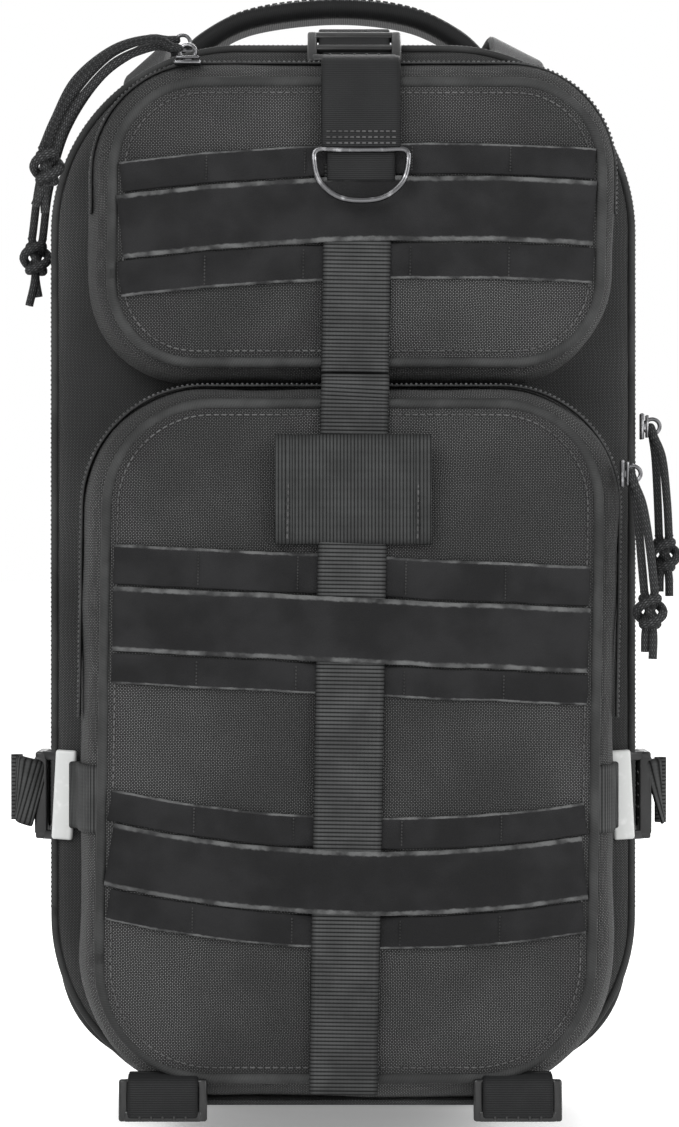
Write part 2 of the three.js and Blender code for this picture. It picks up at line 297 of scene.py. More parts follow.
@dataclass(frozen=True)
class Finish:
    """A surface finish: common settings, and a material made once."""

    name: str
    colour: tuple[float, float, float]
    lift: tuple[float, float, float]
    roughness: float = 0.8
    bump: float = 0.0003
    specular: float = 0.16

    def material(self) -> bpy.types.Material:
        """Returns the material, made on first use.

        Returns:
            The material.
        """
        made = bpy.data.materials.get(self.name)
        if made is None:
            made = bpy.data.materials.new(self.name)
            made.use_nodes = True
            made.node_tree.nodes.clear()
            tree = Tree(made.node_tree)
            shader = tree.node("ShaderNodeBsdfPrincipled")
            output = tree.node("ShaderNodeOutputMaterial")
            tree.put(shader.outputs[0], output.inputs["Surface"])
            shader.inputs["Specular IOR Level"].default_value = self.specular
            self.dress(tree, shader)
        return made

    def dress(self, tree: Tree, shader: bpy.types.Node) -> None:
        """Fills in the shader; each finish has its own."""
        raise NotImplementedError

    def bumped(self, tree: Tree, shader: bpy.types.Node, height: object, strength: float = 1.0) -> None:
        """Feeds a height through a Bump node to the shader's normal.

        Args:
            tree: the material's tree.
            shader: the shader to fill in.
            height: the height to feed.
            strength: how strongly it acts.
        """
        bump = tree.node("ShaderNodeBump")
        bump.inputs["Strength"].default_value = strength
        bump.inputs["Distance"].default_value = self.bump
        tree.put(height, bump.inputs["Height"])
        tree.put(bump.outputs[0], shader.inputs["Normal"])

    def coordinates(self, tree: Tree, kind: Coordinates) -> bpy.types.NodeSocket:
        """Returns the coordinates that the pattern reads."""
        return tree.node("ShaderNodeTexCoord").outputs[kind.value]


@dataclass(frozen=True)
class WovenNylon(Finish):
    """Coarse basket-weave nylon."""

    threads: float = 820.0
    sheen: float = 0.04

    def dress(self, tree: Tree, shader: bpy.types.Node) -> None:
        """Weave in colour, gloss and relief.

        Args:
            tree: the material's tree.
            shader: the shader to fill in.
        """
        source = tree.node("ShaderNodeTexCoord")
        weave = tree.group("weave", Vector=source.outputs["Object"], Normal=source.outputs["Normal"],
                           Threads=self.threads)
        crown = tree.ramp(weave.outputs["Height"], 0.42, 1.0)
        patch = tree.ramp(weave.outputs["Patch"], 0.35, 0.7, 0.42, 1.0)
        tree.put(tree.blend(tree.math("MULTIPLY", crown, patch), self.colour, self.lift),
                 shader.inputs["Base Color"])
        tree.put(tree.ramp(weave.outputs["Height"], 0.3, 1.0, self.roughness, self.roughness - 0.28),
                 shader.inputs["Roughness"])
        shader.inputs["Sheen Weight"].default_value = self.sheen
        shader.inputs["Sheen Roughness"].default_value = 0.5
        self.bumped(tree, shader, weave.outputs["Height"])


@dataclass(frozen=True)
class RibbedWebbing(Finish):
    """Nylon webbing with ribs across it."""

    pitch: float = 1.6 * MM
    yarns: float = 18.0

    def dress(self, tree: Tree, shader: bpy.types.Node) -> None:
        """Ribs in colour, gloss and relief, and a darker woven edge.

        Args:
            tree: the material's tree.
            shader: the shader to fill in.
        """
        place = self.coordinates(tree, Coordinates.MAP)
        ribs = tree.group("ribs", Map=place, Pitch=self.pitch, Yarns=self.yarns)
        worn = tree.noise(self.coordinates(tree, Coordinates.OBJECT), 70, 3)
        crown = tree.math("MULTIPLY", tree.ramp(ribs.outputs["Height"], 0.2, 0.95),
                          tree.ramp(worn, 0.25, 0.7, 0.6, 1.0))
        colour = tree.blend(crown, self.colour, self.lift)
        dark = tuple(c * 0.6 for c in self.colour)
        tree.put(tree.blend(tree.math("MULTIPLY", ribs.outputs["Edge"], 0.5), colour, dark),
                 shader.inputs["Base Color"])
        tree.put(tree.ramp(ribs.outputs["Height"], 0.1, 1.0, self.roughness, self.roughness - 0.2),
                 shader.inputs["Roughness"])
        self.bumped(tree, shader, ribs.outputs["Height"])


@dataclass(frozen=True)
class LoopTape(Finish):
    """Fuzzy loop tape, paler along its cut edges."""

    edge: float = 0.06

    def dress(self, tree: Tree, shader: bpy.types.Node) -> None:
        """Fuzz all over, and the light frayed line along each edge.

        Args:
            tree: the material's tree.
            shader: the shader to fill in.
        """
        split = tree.node("ShaderNodeSeparateXYZ")
        tree.put(self.coordinates(tree, Coordinates.MAP), split.inputs[0])
        place = self.coordinates(tree, Coordinates.OBJECT)
        fuzz = tree.group("fuzz", Vector=place, Scale=1500.0)
        side = tree.math("ABSOLUTE", tree.math("SUBTRACT", split.outputs[0], 0.5))
        fray = tree.math("MULTIPLY_ADD", tree.noise(place, 420, 3), 0.05, side)
        line = tree.ramp(fray, 0.5 - self.edge, 0.5 - self.edge * 0.45)
        line = tree.math("MULTIPLY", line, tree.ramp(tree.noise(place, 120, 4), 0.32, 0.66, 0.12, 1.0))
        body = tree.blend(tree.ramp(fuzz.outputs["Shade"], 0.35, 0.7), self.colour,
                          tuple(c * 1.7 for c in self.colour))
        tree.put(tree.blend(line, body, self.lift), shader.inputs["Base Color"])
        shader.inputs["Roughness"].default_value = self.roughness
        self.bumped(tree, shader, fuzz.outputs["Height"])


@dataclass(frozen=True)
class BindingTape(Finish):
    """Smooth binding and piping tape with a fine twill."""

    def dress(self, tree: Tree, shader: bpy.types.Node) -> None:
        """Fine slanted twill lines and a slow shade change.

        Args:
            tree: the material's tree.
            shader: the shader to fill in.
        """
        split = tree.node("ShaderNodeSeparateXYZ")
        tree.put(self.coordinates(tree, Coordinates.MAP), split.inputs[0])
        slant = tree.math("MULTIPLY_ADD", split.outputs[0], 6.0,
                          tree.math("MULTIPLY", split.outputs[1], 900.0))
        twill = tree.math("ABSOLUTE", tree.math("SINE", tree.math("MULTIPLY", slant, math.pi)))
        shade = tree.ramp(tree.noise(self.coordinates(tree, Coordinates.OBJECT), 55, 3), 0.35, 0.68)
        tree.put(tree.blend(tree.math("MULTIPLY_ADD", twill, 0.4, tree.math("MULTIPLY", shade, 0.6)),
                            self.colour, self.lift), shader.inputs["Base Color"])
        shader.inputs["Roughness"].default_value = self.roughness
        self.bumped(tree, shader, twill)


@dataclass(frozen=True)
class Hard(Finish):
    """Moulded plastic or blackened metal with rubbed edges."""

    metallic: float = 0.0
    coat: float = 0.0

    def dress(self, tree: Tree, shader: bpy.types.Node) -> None:
        """A fine moulded grain, smudges in the gloss, and paler rubbed places.

        Args:
            tree: the material's tree.
            shader: the shader to fill in.
        """
        place = self.coordinates(tree, Coordinates.OBJECT)
        fuzz = tree.group("fuzz", Vector=place, Scale=900.0)
        rub = tree.ramp(tree.noise(place, 240, 4), 0.52, 0.75)
        tree.put(tree.blend(tree.math("MULTIPLY", rub, 0.5), self.colour, self.lift),
                 shader.inputs["Base Color"])
        tree.put(tree.ramp(fuzz.outputs["Shade"], 0.3, 0.7, self.roughness - 0.06, self.roughness + 0.1),
                 shader.inputs["Roughness"])
        shader.inputs["Metallic"].default_value = self.metallic
        shader.inputs["Coat Weight"].default_value = self.coat
        self.bumped(tree, shader, fuzz.outputs["Height"], 0.4)


@dataclass(frozen=True)
class Braid(Finish):
    """Braided cord cover."""

    turns: float = 10.0
    pitch: float = 2.2 * MM

    def dress(self, tree: Tree, shader: bpy.types.Node) -> None:
        """Two crossing sets of slanted strands.

        Args:
            tree: the material's tree.
            shader: the shader to fill in.
        """
        split = tree.node("ShaderNodeSeparateXYZ")
        tree.put(self.coordinates(tree, Coordinates.MAP), split.inputs[0])
        around = tree.math("MULTIPLY", split.outputs[0], self.turns)
        along = tree.math("DIVIDE", split.outputs[1], self.pitch)
        cell = tree.group("weave_cell", S=tree.math("ADD", around, along),
                          T=tree.math("SUBTRACT", around, along)).outputs[0]
        tree.put(tree.blend(tree.ramp(cell, 0.3, 0.95), self.colour, self.lift),
                 shader.inputs["Base Color"])
        shader.inputs["Roughness"].default_value = self.roughness
        self.bumped(tree, shader, cell)


NYLON = WovenNylon("basket_nylon", (0.0045, 0.0046, 0.0046), (0.165, 0.166, 0.166), 0.85, 0.0005,
                   threads=1450.0)
SHELL_NYLON = WovenNylon("shell_nylon", (0.010, 0.0102, 0.0102), (0.115, 0.116, 0.116), 0.88, 0.0003,
                         threads=1700.0)
MESH = WovenNylon("air_mesh", (0.006, 0.006, 0.0063), (0.055, 0.056, 0.057), 0.9, 0.0006, threads=520.0)
WEBBING = RibbedWebbing("ribbed_webbing", (0.0035, 0.0036, 0.0036), (0.040, 0.041, 0.041), 0.8, 0.0004,
                        specular=0.1,
                        pitch=1.66 * MM)
PATCH_WEB = RibbedWebbing("patch_webbing", (0.005, 0.0051, 0.0051), (0.030, 0.031, 0.031), 0.85, 0.0003,
                          specular=0.1,
                          pitch=1.45 * MM, yarns=12.0)
SMOOTH_WEB = RibbedWebbing("smooth_webbing", (0.006, 0.0061, 0.0063), (0.0135, 0.0138, 0.0142), 0.7,
                           0.00012, specular=0.08,
                           pitch=0.9 * MM, yarns=26.0)
LOOP = LoopTape("loop_tape", (0.0068, 0.0068, 0.0071), (0.070, 0.071, 0.071), 0.95, 0.0004, specular=0.14)
BINDING = BindingTape("binding_tape", (0.011, 0.0112, 0.0112), (0.029, 0.0295, 0.0295), 0.8, 0.00008)
THREAD = BindingTape("sewing_thread", (0.030, 0.030, 0.030), (0.075, 0.075, 0.075), 0.6, 0.00005)
DARK_THREAD = BindingTape("dark_thread", (0.010, 0.010, 0.010), (0.034, 0.034, 0.034), 0.7, 0.00005)
PLASTIC = Hard("moulded_plastic", (0.005, 0.0051, 0.0052), (0.020, 0.0205, 0.021), 0.36, 0.00003,
               specular=0.25, coat=0.12)
# Pale grey bar colour: a painted highlight, standing in for the side light's reflection on the black plastic
# of the side locks.
PAINTED_HIGHLIGHT = Hard("satin_face", (0.36, 0.365, 0.36), (0.50, 0.505, 0.50), 0.42, 0.00002, specular=0.5)
METAL = Hard("black_metal", (0.085, 0.085, 0.088), (0.40, 0.40, 0.41), 0.22, 0.00002, specular=0.5,
             metallic=1.0)
COIL = Hard("zip_coil", (0.016, 0.0165, 0.017), (0.12, 0.122, 0.122), 0.35, 0.00002, specular=0.4)
CORD = Braid("braided_cord", (0.006, 0.0062, 0.0064), (0.048, 0.049, 0.050), 0.8, 0.00025)


# ---------------------------------------------------------------- mesh building


def lean_of(z: float) -> float:
    """How far the loaded pockets lean to the right at a height."""
    return 0.4 * MM + (z - 0.06) * 0.0165


def tucked(point: Vector) -> Vector:
    """A point of the shells raised where the rounded underside turns up towards the front.

    Args:
        point: the point.

    Returns:
        The raised point.
    """
    front = min(max((0.035 - point.y) / 0.060, 0.0), 1.0)
    near = min(max((0.085 - point.z) / 0.085, 0.0), 1.0)
    lift = 0.021 * front * front * (3 - 2 * front) * near * near
    return Vector((point.x, point.y, max(point.z + lift, FLOOR_GAP)))


def leant(point: Vector) -> Vector:
    """A point moved sideways as the pockets lean, fully at their front and not at all behind them."""
    share = min(max((-point.y - 0.062) / 0.045, 0.0), 1.0)
    return Vector((point.x + lean_of(point.z) * share, point.y, point.z))


def finished(name: str, mesh: bmesh.types.BMesh, smooth: bool = True) -> bpy.types.Object:
    """Turns a bmesh into an object at the origin.

    Args:
        name: the piece's name.
        mesh: the bmesh, which is freed.
        smooth: whether faces are shaded smooth.

    Returns:
        The new object.
    """
    data = bpy.data.meshes.new(name)
    for face in mesh.faces:
        face.smooth = smooth
    mesh.to_mesh(data)
    mesh.free()
    made = bpy.data.objects.new(name, data)
    bpy.context.scene.collection.objects.link(made)
    return made


def apply_modifiers(obj: bpy.types.Object) -> bpy.types.Object:
    """Bakes an object's modifiers into its mesh.

    Args:
        obj: the piece.

    Returns:
        The same object.
    """
    graph = bpy.context.evaluated_depsgraph_get()
    graph.update()
    data = bpy.data.meshes.new_from_object(obj.evaluated_get(graph))
    obj.modifiers.clear()
    obj.data = data
    return obj


def round_section(radius: float, sides: int = 10) -> Section:
    """A round cross-section."""
    return [(radius * math.cos(2 * math.pi * i / sides), radius * math.sin(2 * math.pi * i / sides))
            for i in range(sides)]


def strap_section(width: float, thick: float, across: int = 6) -> Section:
    """A flat strap's cross-section with round edges.

    Args:
        width: full width.
        thick: full thickness.
        across: steps across each flat side.

    Returns:
        Points round the section.
    """
    half, r = width / 2, thick / 2
    flat = half - r
    top = [(-flat + 2 * flat * i / across, r) for i in range(across + 1)]
    right = [(flat + r * math.cos(a), r * math.sin(a)) for a in (math.pi / 4, 0.0, -math.pi / 4)]
    bottom = [(flat - 2 * flat * i / across, -r) for i in range(across + 1)]
    left = [(-flat - r * math.cos(a), -r * math.sin(a)) for a in (math.pi / 4, 0.0, -math.pi / 4)]
    return top + right + bottom + left


def curve_through(points: Sequence[Point], count: int, closed: bool = False) -> list[Vector]:
    """Evenly spaced points on a smooth curve through the given ones.

    Args:
        points: points to pass through.
        count: how many points to give back.
        closed: whether the curve closes on itself.

    Returns:
        Points along the curve.
    """
    given = [Vector(p) for p in points]
    total = len(given)
    dense: list[Vector] = []
    spans = total if closed else total - 1
    for i in range(spans):
        if closed:
            a, b, c, d = (given[(i + k) % total] for k in (-1, 0, 1, 2))
        else:
            b, c = given[i], given[i + 1]
            a = given[i - 1] if i else b * 2 - c
            d = given[i + 2] if i + 2 < total else c * 2 - b
        for step in range(CURVE_STEPS):
            t = step / CURVE_STEPS
            dense.append(0.5 * ((2 * b) + (c - a) * t + (2 * a - 5 * b + 4 * c - d) * t * t
                                + (3 * b - a - 3 * c + d) * t * t * t))
    dense.append(given[0].copy() if closed else given[-1].copy())
    lengths = [0.0]
    for before, after in zip(dense, dense[1:]):
        lengths.append(lengths[-1] + (after - before).length)
    out, j = [], 0
    for i in range(count):
        want = lengths[-1] * i / (count if closed else count - 1)
        while j < len(lengths) - 2 and lengths[j + 1] < want:
            j += 1
        span = max(lengths[j + 1] - lengths[j], 1e-12)
        out.append(dense[j].lerp(dense[j + 1], min(max((want - lengths[j]) / span, 0.0), 1.0)))
    return out


def frames_along(path: Sequence[Vector], across: Vector | None,
                 closed: bool) -> list[tuple[Vector, Vector]]:
    """Width and thickness directions at each point of a path.

    Args:
        path: the points.
        across: the width direction to keep, or None for one that turns as little as possible.
        closed: whether the path closes on itself.

    Returns:
        Pairs of unit vectors.
    """
    count = len(path)
    out: list[tuple[Vector, Vector]] = []
    carried = across
    for i in range(count):
        if closed:
            along = path[(i + 1) % count] - path[i - 1]
        else:
            along = path[min(i + 1, count - 1)] - path[max(i - 1, 0)]
        along.normalize()
        if carried is None:
            carried = X_AXIS if abs(along.x) < 0.8 else Z_AXIS
        side = carried - along * carried.dot(along)
        side.normalize()
        out.append((side, along.cross(side).normalized()))
        if across is None:
            carried = side
    return out


def drawn_out(mesh: bmesh.types.BMesh, edges: Sequence[bmesh.types.BMEdge]) -> tuple[set, list]:
    """Draws a wall out of some edges.

    Args:
        mesh: the mesh.
        edges: the edges to draw out.

    Returns:
        The new vertices, and the new edges that join them.
    """
    made = bmesh.ops.extrude_edge_only(mesh, edges=edges)["geom"]
    fresh = {g for g in made if isinstance(g, bmesh.types.BMVert)}
    return fresh, [g for g in made if isinstance(g, bmesh.types.BMEdge)
                   and all(v in fresh for v in g.verts)]


def sweep(name: str, path: Sequence[Vector], section: Section, across: Vector | None = None,
          closed: bool = False) -> bpy.types.Object:
    """A section drawn along a path, with a map: across from 0 to 1, along in metres.

    Args:
        name: the piece's name.
        path: points along it.
        section: the cross-section.
        across: the width direction, for a flat section.
        closed: whether it closes on itself.

    Returns:
        The new object.
    """
    mesh = bmesh.new()
    index = mesh.verts.layers.int.new("across")
    step = mesh.verts.layers.int.new("along")
    bmesh.ops.create_circle(mesh, segments=len(section), radius=1.0)
    frames = frames_along(path, across, closed)
    mesh.verts.index_update()
    for vert in mesh.verts:
        vert[index] = vert.index

    def place(vert: bmesh.types.BMVert, at: int) -> None:
        """Puts one vertex of the section at a step of the path.

        Args:
            vert: the vertex.
            at: the step.
        """
        side, up = frames[at]
        a, b = section[vert[index]]
        vert.co = path[at] + side * a + up * b
        vert[step] = at

    for vert in mesh.verts:
        place(vert, 0)
    first = list(mesh.edges)
    edges = first
    for at in range(1, len(path)):
        fresh, edges = drawn_out(mesh, edges)
        for vert in fresh:
            place(vert, at)
    if closed:
        bmesh.ops.bridge_loops(mesh, edges=first + edges)
    else:
        for loop in (first, edges):
            bmesh.ops.contextual_create(mesh, geom=loop)
    bmesh.ops.recalc_face_normals(mesh, faces=mesh.faces)
    reach = max(abs(a) for a, _ in section)
    lengths = [0.0]
    for before, after in zip(path, path[1:]):
        lengths.append(lengths[-1] + (after - before).length)
    uv = mesh.loops.layers.uv.new("UVMap")
    for face in mesh.faces:
        for corner in face.loops:
            vert = corner.vert
            a = section[vert[index]][0]
            u = vert[index] / len(section) if across is None else a / (2 * reach) + 0.5
            corner[uv].uv = (u, lengths[vert[step]])
    return finished(name, mesh)


@dataclass(frozen=True)
class Outline:
    """A round-cornered outline in the front view, in metres."""

    half: float
    low: float
    high: float
    shoulder: float
    foot: float

    @property
    def middle(self) -> float:
        """Height of its middle."""
        return (self.low + self.high) / 2

    @property
    def rise(self) -> float:
        """Half its height."""
        return (self.high - self.low) / 2

    def grown(self, by: float) -> Outline:
        """The same outline, larger all round."""
        return replace(self, half=self.half + by, low=self.low - by, high=self.high + by,
                       shoulder=max(self.shoulder + by, 0.002), foot=max(self.foot + by, 0.002))

    def place(self, u: float, v: float) -> tuple[float, float]:
        """X and Z of a point given by two numbers from -1 to 1.

        Args:
            u: across.
            v: up.

        Returns:
            X and Z.
        """
        r = self.shoulder if v > 0 else self.foot
        x, z = abs(u) * self.half, abs(v) * self.rise
        a, b = (x - self.half + r) / r, (z - self.rise + r) / r
        if a > 0 and b > 0:
            x = self.half - r + r * a * math.sqrt(1 - b * b / 2)
            z = self.rise - r + r * b * math.sqrt(1 - a * a / 2)
        return math.copysign(x, u), self.middle + math.copysign(z, v)

    def route(self, y: float, step: float = 0.004, foot_at: float | None = None) -> list[Vector]:
        """Points along the outline at one depth.

        Args:
            y: the depth.
            step: about how far apart the points are.
            foot_at: where the open route starts and ends, or None for the closed outline.

        Returns:
            Points, anticlockwise from the lower left, or from the left foot over the top.
        """
        corners = ((-1, -1, self.foot), (1, -1, self.foot), (1, 1, self.shoulder), (-1, 1, self.shoulder))
        start = {(-1, -1): math.pi, (1, -1): 1.5 * math.pi, (1, 1): 0.0, (-1, 1): 0.5 * math.pi}
        points: list[Vector] = []
        for sx, sz, r in corners:
            cx, cz = sx * (self.half - r), (self.high if sz > 0 else self.low) - sz * r
            count = max(4, int(r * math.pi / 2 / step))
            for i in range(count + 1):
                angle = start[(sx, sz)] + math.pi / 2 * i / count
                points.append(Vector((cx + r * math.cos(angle), y, cz + r * math.sin(angle))))
        dense: list[Vector] = []
        for before, after in zip(points, points[1:] + points[:1]):
            pieces = max(1, int((after - before).length / step))
            dense += [before.lerp(after, i / pieces) for i in range(pieces)]
        if foot_at is None:
            return dense
        kept = [p for p in dense if p.z >= foot_at]
        split = max(range(len(kept)), key=lambda i: (kept[(i + 1) % len(kept)] - kept[i]).length)
        return kept[split + 1:] + kept[:split + 1]


def crumple(mesh: bmesh.types.BMesh, amount: float, scale: float, seed: float) -> None:
    """Moves vertices along their normals by a slow noise, as loaded cloth waves.

    Args:
        mesh: the mesh.
        amount: most movement.
        scale: waves to the metre.
        seed: picks the pattern.
    """
    mesh.normal_update()
    shift = Vector((seed, seed * 0.7, -seed))
    moves = []
    for vert in mesh.verts:
        wave = noise.noise(vert.co * scale + shift) + 0.4 * noise.noise(vert.co * scale * 2.6 + shift)
        moves.append((vert, vert.normal * (wave * amount)))
    for vert, move in moves:
        vert.co += move


def skin(name: str, outline: Outline, face: Callable[[float, float], float],
         skirt: Sequence[tuple[float, float]],
         keep_face: bool = True, step: float = 0.005, wall: float = 0.0022, waves: float = 0.0008,
         seed: float = 1.0,
         shape: Callable[[Vector], Vector] | None = None) -> bpy.types.Object:
    """A sewn shell: a face on a grid, and a skirt drawn out from its edge.

    Args:
        name: the piece's name.
        outline: the face's outline.
        face: depth of the face at an X and Z.
        skirt: pairs of depth and outset, in order from the face.
        keep_face: whether the face stays, or only the skirt.
        step: grid spacing.
        wall: cloth thickness, or 0 for a single closed skin.
        waves: how much the cloth waves.
        seed: picks the waves.
        shape: moves each point to its final place.

    Returns:
        The new object.
    """
    across, up = (max(6, int(2 * size / step)) for size in (outline.half, outline.rise))
    mesh = bmesh.new()
    bmesh.ops.create_grid(mesh, x_segments=across, y_segments=up, size=1.0)
    spot = mesh.verts.layers.float_vector.new("spot")
    for vert in mesh.verts:
        u, v = vert.co.x, vert.co.y
        vert[spot] = Vector((u, v, 0))
        x, z = outline.place(u, v)
        vert.co = Vector((x, face(x, z), z))
    faces = list(mesh.faces)
    edges = [e for e in mesh.edges if e.is_boundary]
    for depth, outset in skirt:
        fresh, edges = drawn_out(mesh, edges)
        rim = outline.grown(outset)
        for vert in fresh:
            x, z = rim.place(vert[spot].x, vert[spot].y)
            vert.co = Vector((x, depth, z))
    if not keep_face:
        bmesh.ops.delete(mesh, geom=faces, context="FACES")
    if waves:
        crumple(mesh, waves, 14, seed)
    if shape:
        for vert in mesh.verts:
            vert.co = shape(vert.co)
    outwards(mesh, outline.middle)
    made_piece = finished(name, mesh)
    if wall:
        thick = made_piece.modifiers.new("wall", "SOLIDIFY")
        thick.thickness = wall
        thick.offset = -1
        apply_modifiers(made_piece)
    return made_piece


def outwards(mesh: bmesh.types.BMesh, middle: float) -> None:
    """Turns an open shell's faces away from the pack's middle line.

    Args:
        mesh: the shell.
        middle: height of its middle.
    """
    bmesh.ops.recalc_face_normals(mesh, faces=mesh.faces)
    sides = [f for f in mesh.faces if abs(f.normal.y) < 0.5]
    tally = sum(f.normal.dot(f.calc_center_median() - Vector((0, f.calc_center_median().y, middle)))
                for f in sides)
    if tally < 0:
        bmesh.ops.reverse_faces(mesh, faces=mesh.faces)


def bar(mesh: bmesh.types.BMesh, centre: Point, size: Point, bevel: float,
        turn: Matrix | None = None) -> None:
    """Adds a bevelled bar to a mesh.

    Args:
        mesh: the mesh to add to.
        centre: middle of the bar.
        size: full size along X, Y and Z.
        bevel: radius of its edges.
        turn: how it is turned about its middle.
    """
    matrix = Matrix.Translation(Vector(centre)) @ (turn
                                                   or Matrix.Identity(4)) @ Matrix.Diagonal((*size, 1.0))
    made = bmesh.ops.create_cube(mesh, size=1.0, matrix=matrix)["verts"]
    edges = list({e for v in made for e in v.link_edges})
    bmesh.ops.bevel(mesh, geom=edges, offset=bevel, offset_type="OFFSET", segments=3, profile=0.5,
                    affect="EDGES", material=-1)


def dress(obj: bpy.types.Object, finish: Finish, body: str, slot: str, *nodes: str) -> bpy.types.Object:
    """Gives a piece its finish and body, and hides the CAD nodes that it stands for.

    Args:
        obj: the piece.
        finish: its finish.
        body: the body that it rides on.
        slot: the record's material slot; not used.
        nodes: CAD nodes that it replaces.

    Returns:
        The piece.
    """
    obj.data.materials.clear()
    obj.data.materials.append(finish.material())
    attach(obj, body)
    if nodes:
        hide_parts(*nodes)
    LOG.info("made %s on %s", obj.name, body)
    return obj


def repeated(name: str, size: Point, bevel: float, places: Iterable[Matrix]) -> bpy.types.Object:
    """One small bevelled bar repeated at many places.

    Args:
        name: the piece's name.
        size: full size of the bar along X, Y and Z.
        bevel: width of its bevelled edges.
        places: where each copy goes.

    Returns:
        The new object.
    """
    single = bmesh.new()
    bmesh.ops.create_cube(single, size=1.0, matrix=Matrix.Diagonal((*size, 1.0)))
    bmesh.ops.bevel(single, geom=list(single.edges), offset=bevel, offset_type="OFFSET", segments=1,
                    profile=0.5,
                    affect="EDGES", material=-1)
    template = bpy.data.meshes.new("template")
    single.to_mesh(template)
    single.free()
    mesh = bmesh.new()
    for place in places:
        copy = template.copy()
        copy.transform(place)
        mesh.from_mesh(copy)
        bpy.data.meshes.remove(copy)
    bpy.data.meshes.remove(template)
    bmesh.ops.recalc_face_normals(mesh, faces=mesh.faces)
    return finished(name, mesh)


def stitches(name: str, rows: Sequence[Sequence[Vector]], pitch: float = 3.0 * MM,
             thick: float = 0.45 * MM) -> bpy.types.Object:
    """Rows of lock stitches: short threads end to end.

    Args:
        name: the piece's name.
        rows: one list of points for each row.
        pitch: stitch length.
        thick: thread radius.

    Returns:
        The new object.
    """
    places = []
    for row in rows:
        length = sum((b - a).length for a, b in zip(row, row[1:]))
        points = curve_through(row, max(3, int(length / pitch) + 1))
        for a, b in zip(points, points[1:]):
            places.append(Matrix.Translation((a + b) / 2)
                          @ (b - a).to_track_quat("X", "Z").to_matrix().to_4x4())
    return repeated(name, (pitch * 0.72, thick * 2, thick * 2), thick * 0.55, places)


# ---------------------------------------------------------------- the pack


@dataclass
class PocketFace:
    """The domed front of a pocket, which everything sewn on it follows."""

    outline: Outline
    base: float
    dome: float
    seed: float

    def depth(self, x: float, z: float) -> float:
        """Depth of the cloth's outer face at an X and Z.

        Args:
            x: X.
            z: Z.

        Returns:
            The depth.
        """
        u = min(abs(x) / self.outline.half, 1.0)
        v = min(abs(z - self.outline.middle) / self.outline.rise, 1.0)
        wave = noise.noise(Vector((x * 14 + self.seed, z * 14, self.seed))) * 1.9 * MM
        wave += noise.noise(Vector((x * 34 + self.seed, z * 26, self.seed + 4.0))) * 0.7 * MM
        inner = (1 - u ** 3) * (1 - v ** 4)
        return self.base - (self.dome + wave) * inner

    def over(self, x: float, z: float, above: float) -> Vector:
        """A point above the cloth's face, leant as the pocket leans."""
        return leant(Vector((x, self.depth(x, z) - above, z)))


@dataclass
class Band:
    """One loop band: its edge heights in the middle, and how its line bends and tilts."""

    name: str
    low: float
    high: float
    half: float
    arch: float
    tilt: float
    wide: bool

    def height(self, x: float) -> float:
        """Height of the band's middle line at an X."""
        share = x / self.half
        return (self.low + self.high) / 2 - self.arch * (share * share - 0.4) + self.tilt * share


@dataclass
class Camera:
    """Camera, light and floor."""

    distance: float = 1.4
    plane: float = -0.02
    view_height: float = 0.5072
    eye: tuple[float, float] = (-0.0016, 0.2522)

    def build(self) -> None:
        """Makes the camera, lights, world and floor."""
        data = bpy.data.cameras.new("camera")
        data.sensor_fit = "VERTICAL"
        data.angle = 2 * math.atan(self.view_height / 2 / self.distance)
        camera = bpy.data.objects.new("camera", data)
        camera.location = (self.eye[0], self.plane - self.distance, self.eye[1])
        camera.rotation_euler = (math.pi / 2, 0, 0)
        bpy.context.scene.collection.objects.link(camera)
        bpy.context.scene.camera = camera
        bpy.context.scene.view_settings.view_transform = "Standard"
        self.light("key", (-0.9, -1.5, 1.5), 1.1, 34)
        self.light("side", (1.4, -1.0, 0.9), 1.0, 20)
        self.light("rear", (0.2, 1.6, 1.3), 1.2, 22)
        self.light("low", (0.0, -1.6, 0.15), 1.2, 7)
        world = bpy.data.worlds.new("studio")
        world.use_nodes = True
        world.node_tree.nodes["Background"].inputs[0].default_value = (1, 1, 1, 1)
        world.node_tree.nodes["Background"].inputs[1].default_value = 1.0
        bpy.context.scene.world = world
        self.floor()

    def light(self, name: str, place: Point, size: float, power: float) -> None:
        """Adds a soft area light aimed at the pack.

        Args:
            name: its name.
            place: where it stands.
            size: its side.
            power: watts.
        """
        data = bpy.data.lights.new(name, "AREA")
        data.size = size
        data.energy = power
        made = bpy.data.objects.new(name, data)
        made.location = place
        aim = Vector((0, 0, 0.25)) - Vector(place)
        made.rotation_euler = aim.to_track_quat("-Z", "Y").to_euler()
        bpy.context.scene.collection.objects.link(made)

    def floor(self) -> None:
        """A plain pale floor."""
        mesh = bmesh.new()
        bmesh.ops.create_grid(mesh, x_segments=2, y_segments=2, size=40.0)
        made = finished("floor", mesh)
        material = bpy.data.materials.new("floor")
        material.use_nodes = True
        shader = material.node_tree.nodes["Principled BSDF"]
        shader.inputs["Base Color"].default_value = (0.96, 0.96, 0.96, 1)
        shader.inputs["Roughness"].default_value = 1.0
        shader.inputs["Specular IOR Level"].default_value = 0.0
        shader.inputs["Emission Color"].default_value = (1, 1, 1, 1)
        shader.inputs["Emission Strength"].default_value = 0.25
        made.data.materials.append(material)


